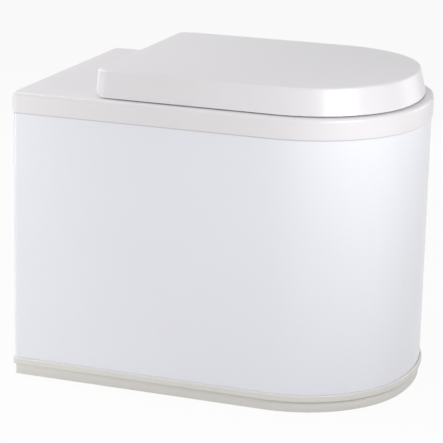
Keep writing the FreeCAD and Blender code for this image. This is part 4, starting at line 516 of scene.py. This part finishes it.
# Studio: a wide sheet of pale paper on the floor, which keeps the shadow, and a white surround.
# Both look white to the camera and in mirrored and transmitted light. Other light is plain and soft.
FLOOR_HALF = 30.0
FLOOR_WHITE = 0.93
floor_mesh = bpy.data.meshes.new("studio_floor")
floor_mesh.from_pydata([(-FLOOR_HALF, -FLOOR_HALF, 0), (FLOOR_HALF, -FLOOR_HALF, 0),
                        (FLOOR_HALF, FLOOR_HALF, 0), (-FLOOR_HALF, FLOOR_HALF, 0)], [], [(0, 1, 2, 3)])
studio_floor = bpy.data.objects.new("studio_floor", floor_mesh)
bpy.context.scene.collection.objects.link(studio_floor)
floor_paper = bpy.data.materials.new("pale_paper_floor")
floor_paper.use_nodes = True
tree = floor_paper.node_tree
tree.nodes.clear()
paper = add_node(tree, "ShaderNodeBsdfDiffuse", {"Color": linear("#E2E1DE")})
glow = add_node(tree, "ShaderNodeEmission", {"Color": (1, 1, 1, 1), "Strength": 1.0})
path = add_node(tree, "ShaderNodeLightPath")
mirrored = add_node(tree, "ShaderNodeMath", {"operation": "MAXIMUM"},
                    {0: path.outputs["Is Glossy Ray"], 1: path.outputs["Is Transmission Ray"]})
seen = add_node(tree, "ShaderNodeMath", {"operation": "MAXIMUM"},
                {0: path.outputs["Is Camera Ray"], 1: mirrored.outputs[0]})
share = add_node(tree, "ShaderNodeMath", {"operation": "MULTIPLY", 1: FLOOR_WHITE}, {0: seen.outputs[0]})
mix = add_node(tree, "ShaderNodeMixShader",
               links={0: share.outputs[0], 1: paper.outputs[0], 2: glow.outputs[0]})
add_node(tree, "ShaderNodeOutputMaterial", links={"Surface": mix.outputs[0]})
floor_mesh.materials.append(floor_paper)

AMBIENT = 0.35
surround = bpy.data.worlds.new("studio_surround")
bpy.context.scene.world = surround
surround.use_nodes = True
tree = surround.node_tree
tree.nodes.clear()
path = add_node(tree, "ShaderNodeLightPath")
mirrored = add_node(tree, "ShaderNodeMath", {"operation": "MAXIMUM"},
                    {0: path.outputs["Is Glossy Ray"], 1: path.outputs["Is Transmission Ray"]})
seen = add_node(tree, "ShaderNodeMath", {"operation": "MAXIMUM"},
                {0: path.outputs["Is Camera Ray"], 1: mirrored.outputs[0]})
level = add_node(tree, "ShaderNodeMapRange", {"To Min": AMBIENT, "To Max": 1.0}, {"Value": seen.outputs[0]})
sky = add_node(tree, "ShaderNodeBackground", {"Color": (1, 1, 1, 1)}, {"Strength": level.outputs[0]})
add_node(tree, "ShaderNodeOutputWorld", links={"Surface": sky.outputs[0]})


# Lamps: soft panels round the object. The low one on the far side stays below the lid, which would mirror it.
# The panels are hidden from the camera, and only their light and their mirror images show.
LAMPS = (
    ("lamp_nose", (-0.60, -0.78, 0.68), (-0.10, -0.26, 0.42), 0.45, 4.7),
    ("lamp_near_rear", (-1.05, 1.05, 0.36), (-0.22, 0.28, 0.12), 0.6, 6.6),
    ("lamp_top", (-0.1, 1.0, 1.5), (0.0, 0.2, 0.5), 0.7, 8.8),
    ("lamp_far_side", (1.5, -1.3, 0.6), (0.1, -0.1, 0.3), 1.0, 4.6),
    ("lamp_far_low", (1.9, 0.6, 0.29), (0.2, 0.0, 0.24), 0.44, 6.8),
    ("lamp_rear", (1.3, 1.9, 0.8), (0.1, 0.2, 0.3), 1.2, 4.0),
)
for lamp_name, lamp_place, lamp_aim, lamp_size, lamp_power in LAMPS:
    lamp_data = bpy.data.lights.new(lamp_name, "AREA")
    lamp_data.size = lamp_size
    lamp_data.energy = lamp_power
    lamp = bpy.data.objects.new(lamp_name, lamp_data)
    lamp.location = lamp_place
    lamp.rotation_euler = (Vector(lamp_aim) - Vector(lamp_place)).to_track_quat("-Z", "Y").to_euler()
    lamp.visible_camera = False
    bpy.context.scene.collection.objects.link(lamp)


# Camera: a long lens at the photograph's angle, low over the near side, with a slight roll.
CAMERA_PLACE = Vector((-3.1149, -1.0637, 1.1592))
CAMERA_AIM = Vector((0.0, 0.0302, 0.2463))
CAMERA_ROLL = math.radians(1.288)
CAMERA_LENS = 161.37
SENSOR_WIDTH = 36.0
ahead = (CAMERA_AIM - CAMERA_PLACE).normalized()
level_right = ahead.cross(Vector((0, 0, 1))).normalized()
level_up = level_right.cross(ahead)
right = level_right * math.cos(CAMERA_ROLL) + level_up * math.sin(CAMERA_ROLL)
up = level_up * math.cos(CAMERA_ROLL) - level_right * math.sin(CAMERA_ROLL)
turn = Matrix((right, up, -ahead)).transposed().to_4x4()
camera_data = bpy.data.cameras.new("photo_camera")
camera_data.lens = CAMERA_LENS
camera_data.sensor_width = SENSOR_WIDTH
camera = bpy.data.objects.new("photo_camera", camera_data)
camera.matrix_world = Matrix.Translation(CAMERA_PLACE) @ turn
bpy.context.scene.collection.objects.link(camera)
bpy.context.scene.camera = camera
bpy.context.scene.view_settings.view_transform = "Standard"
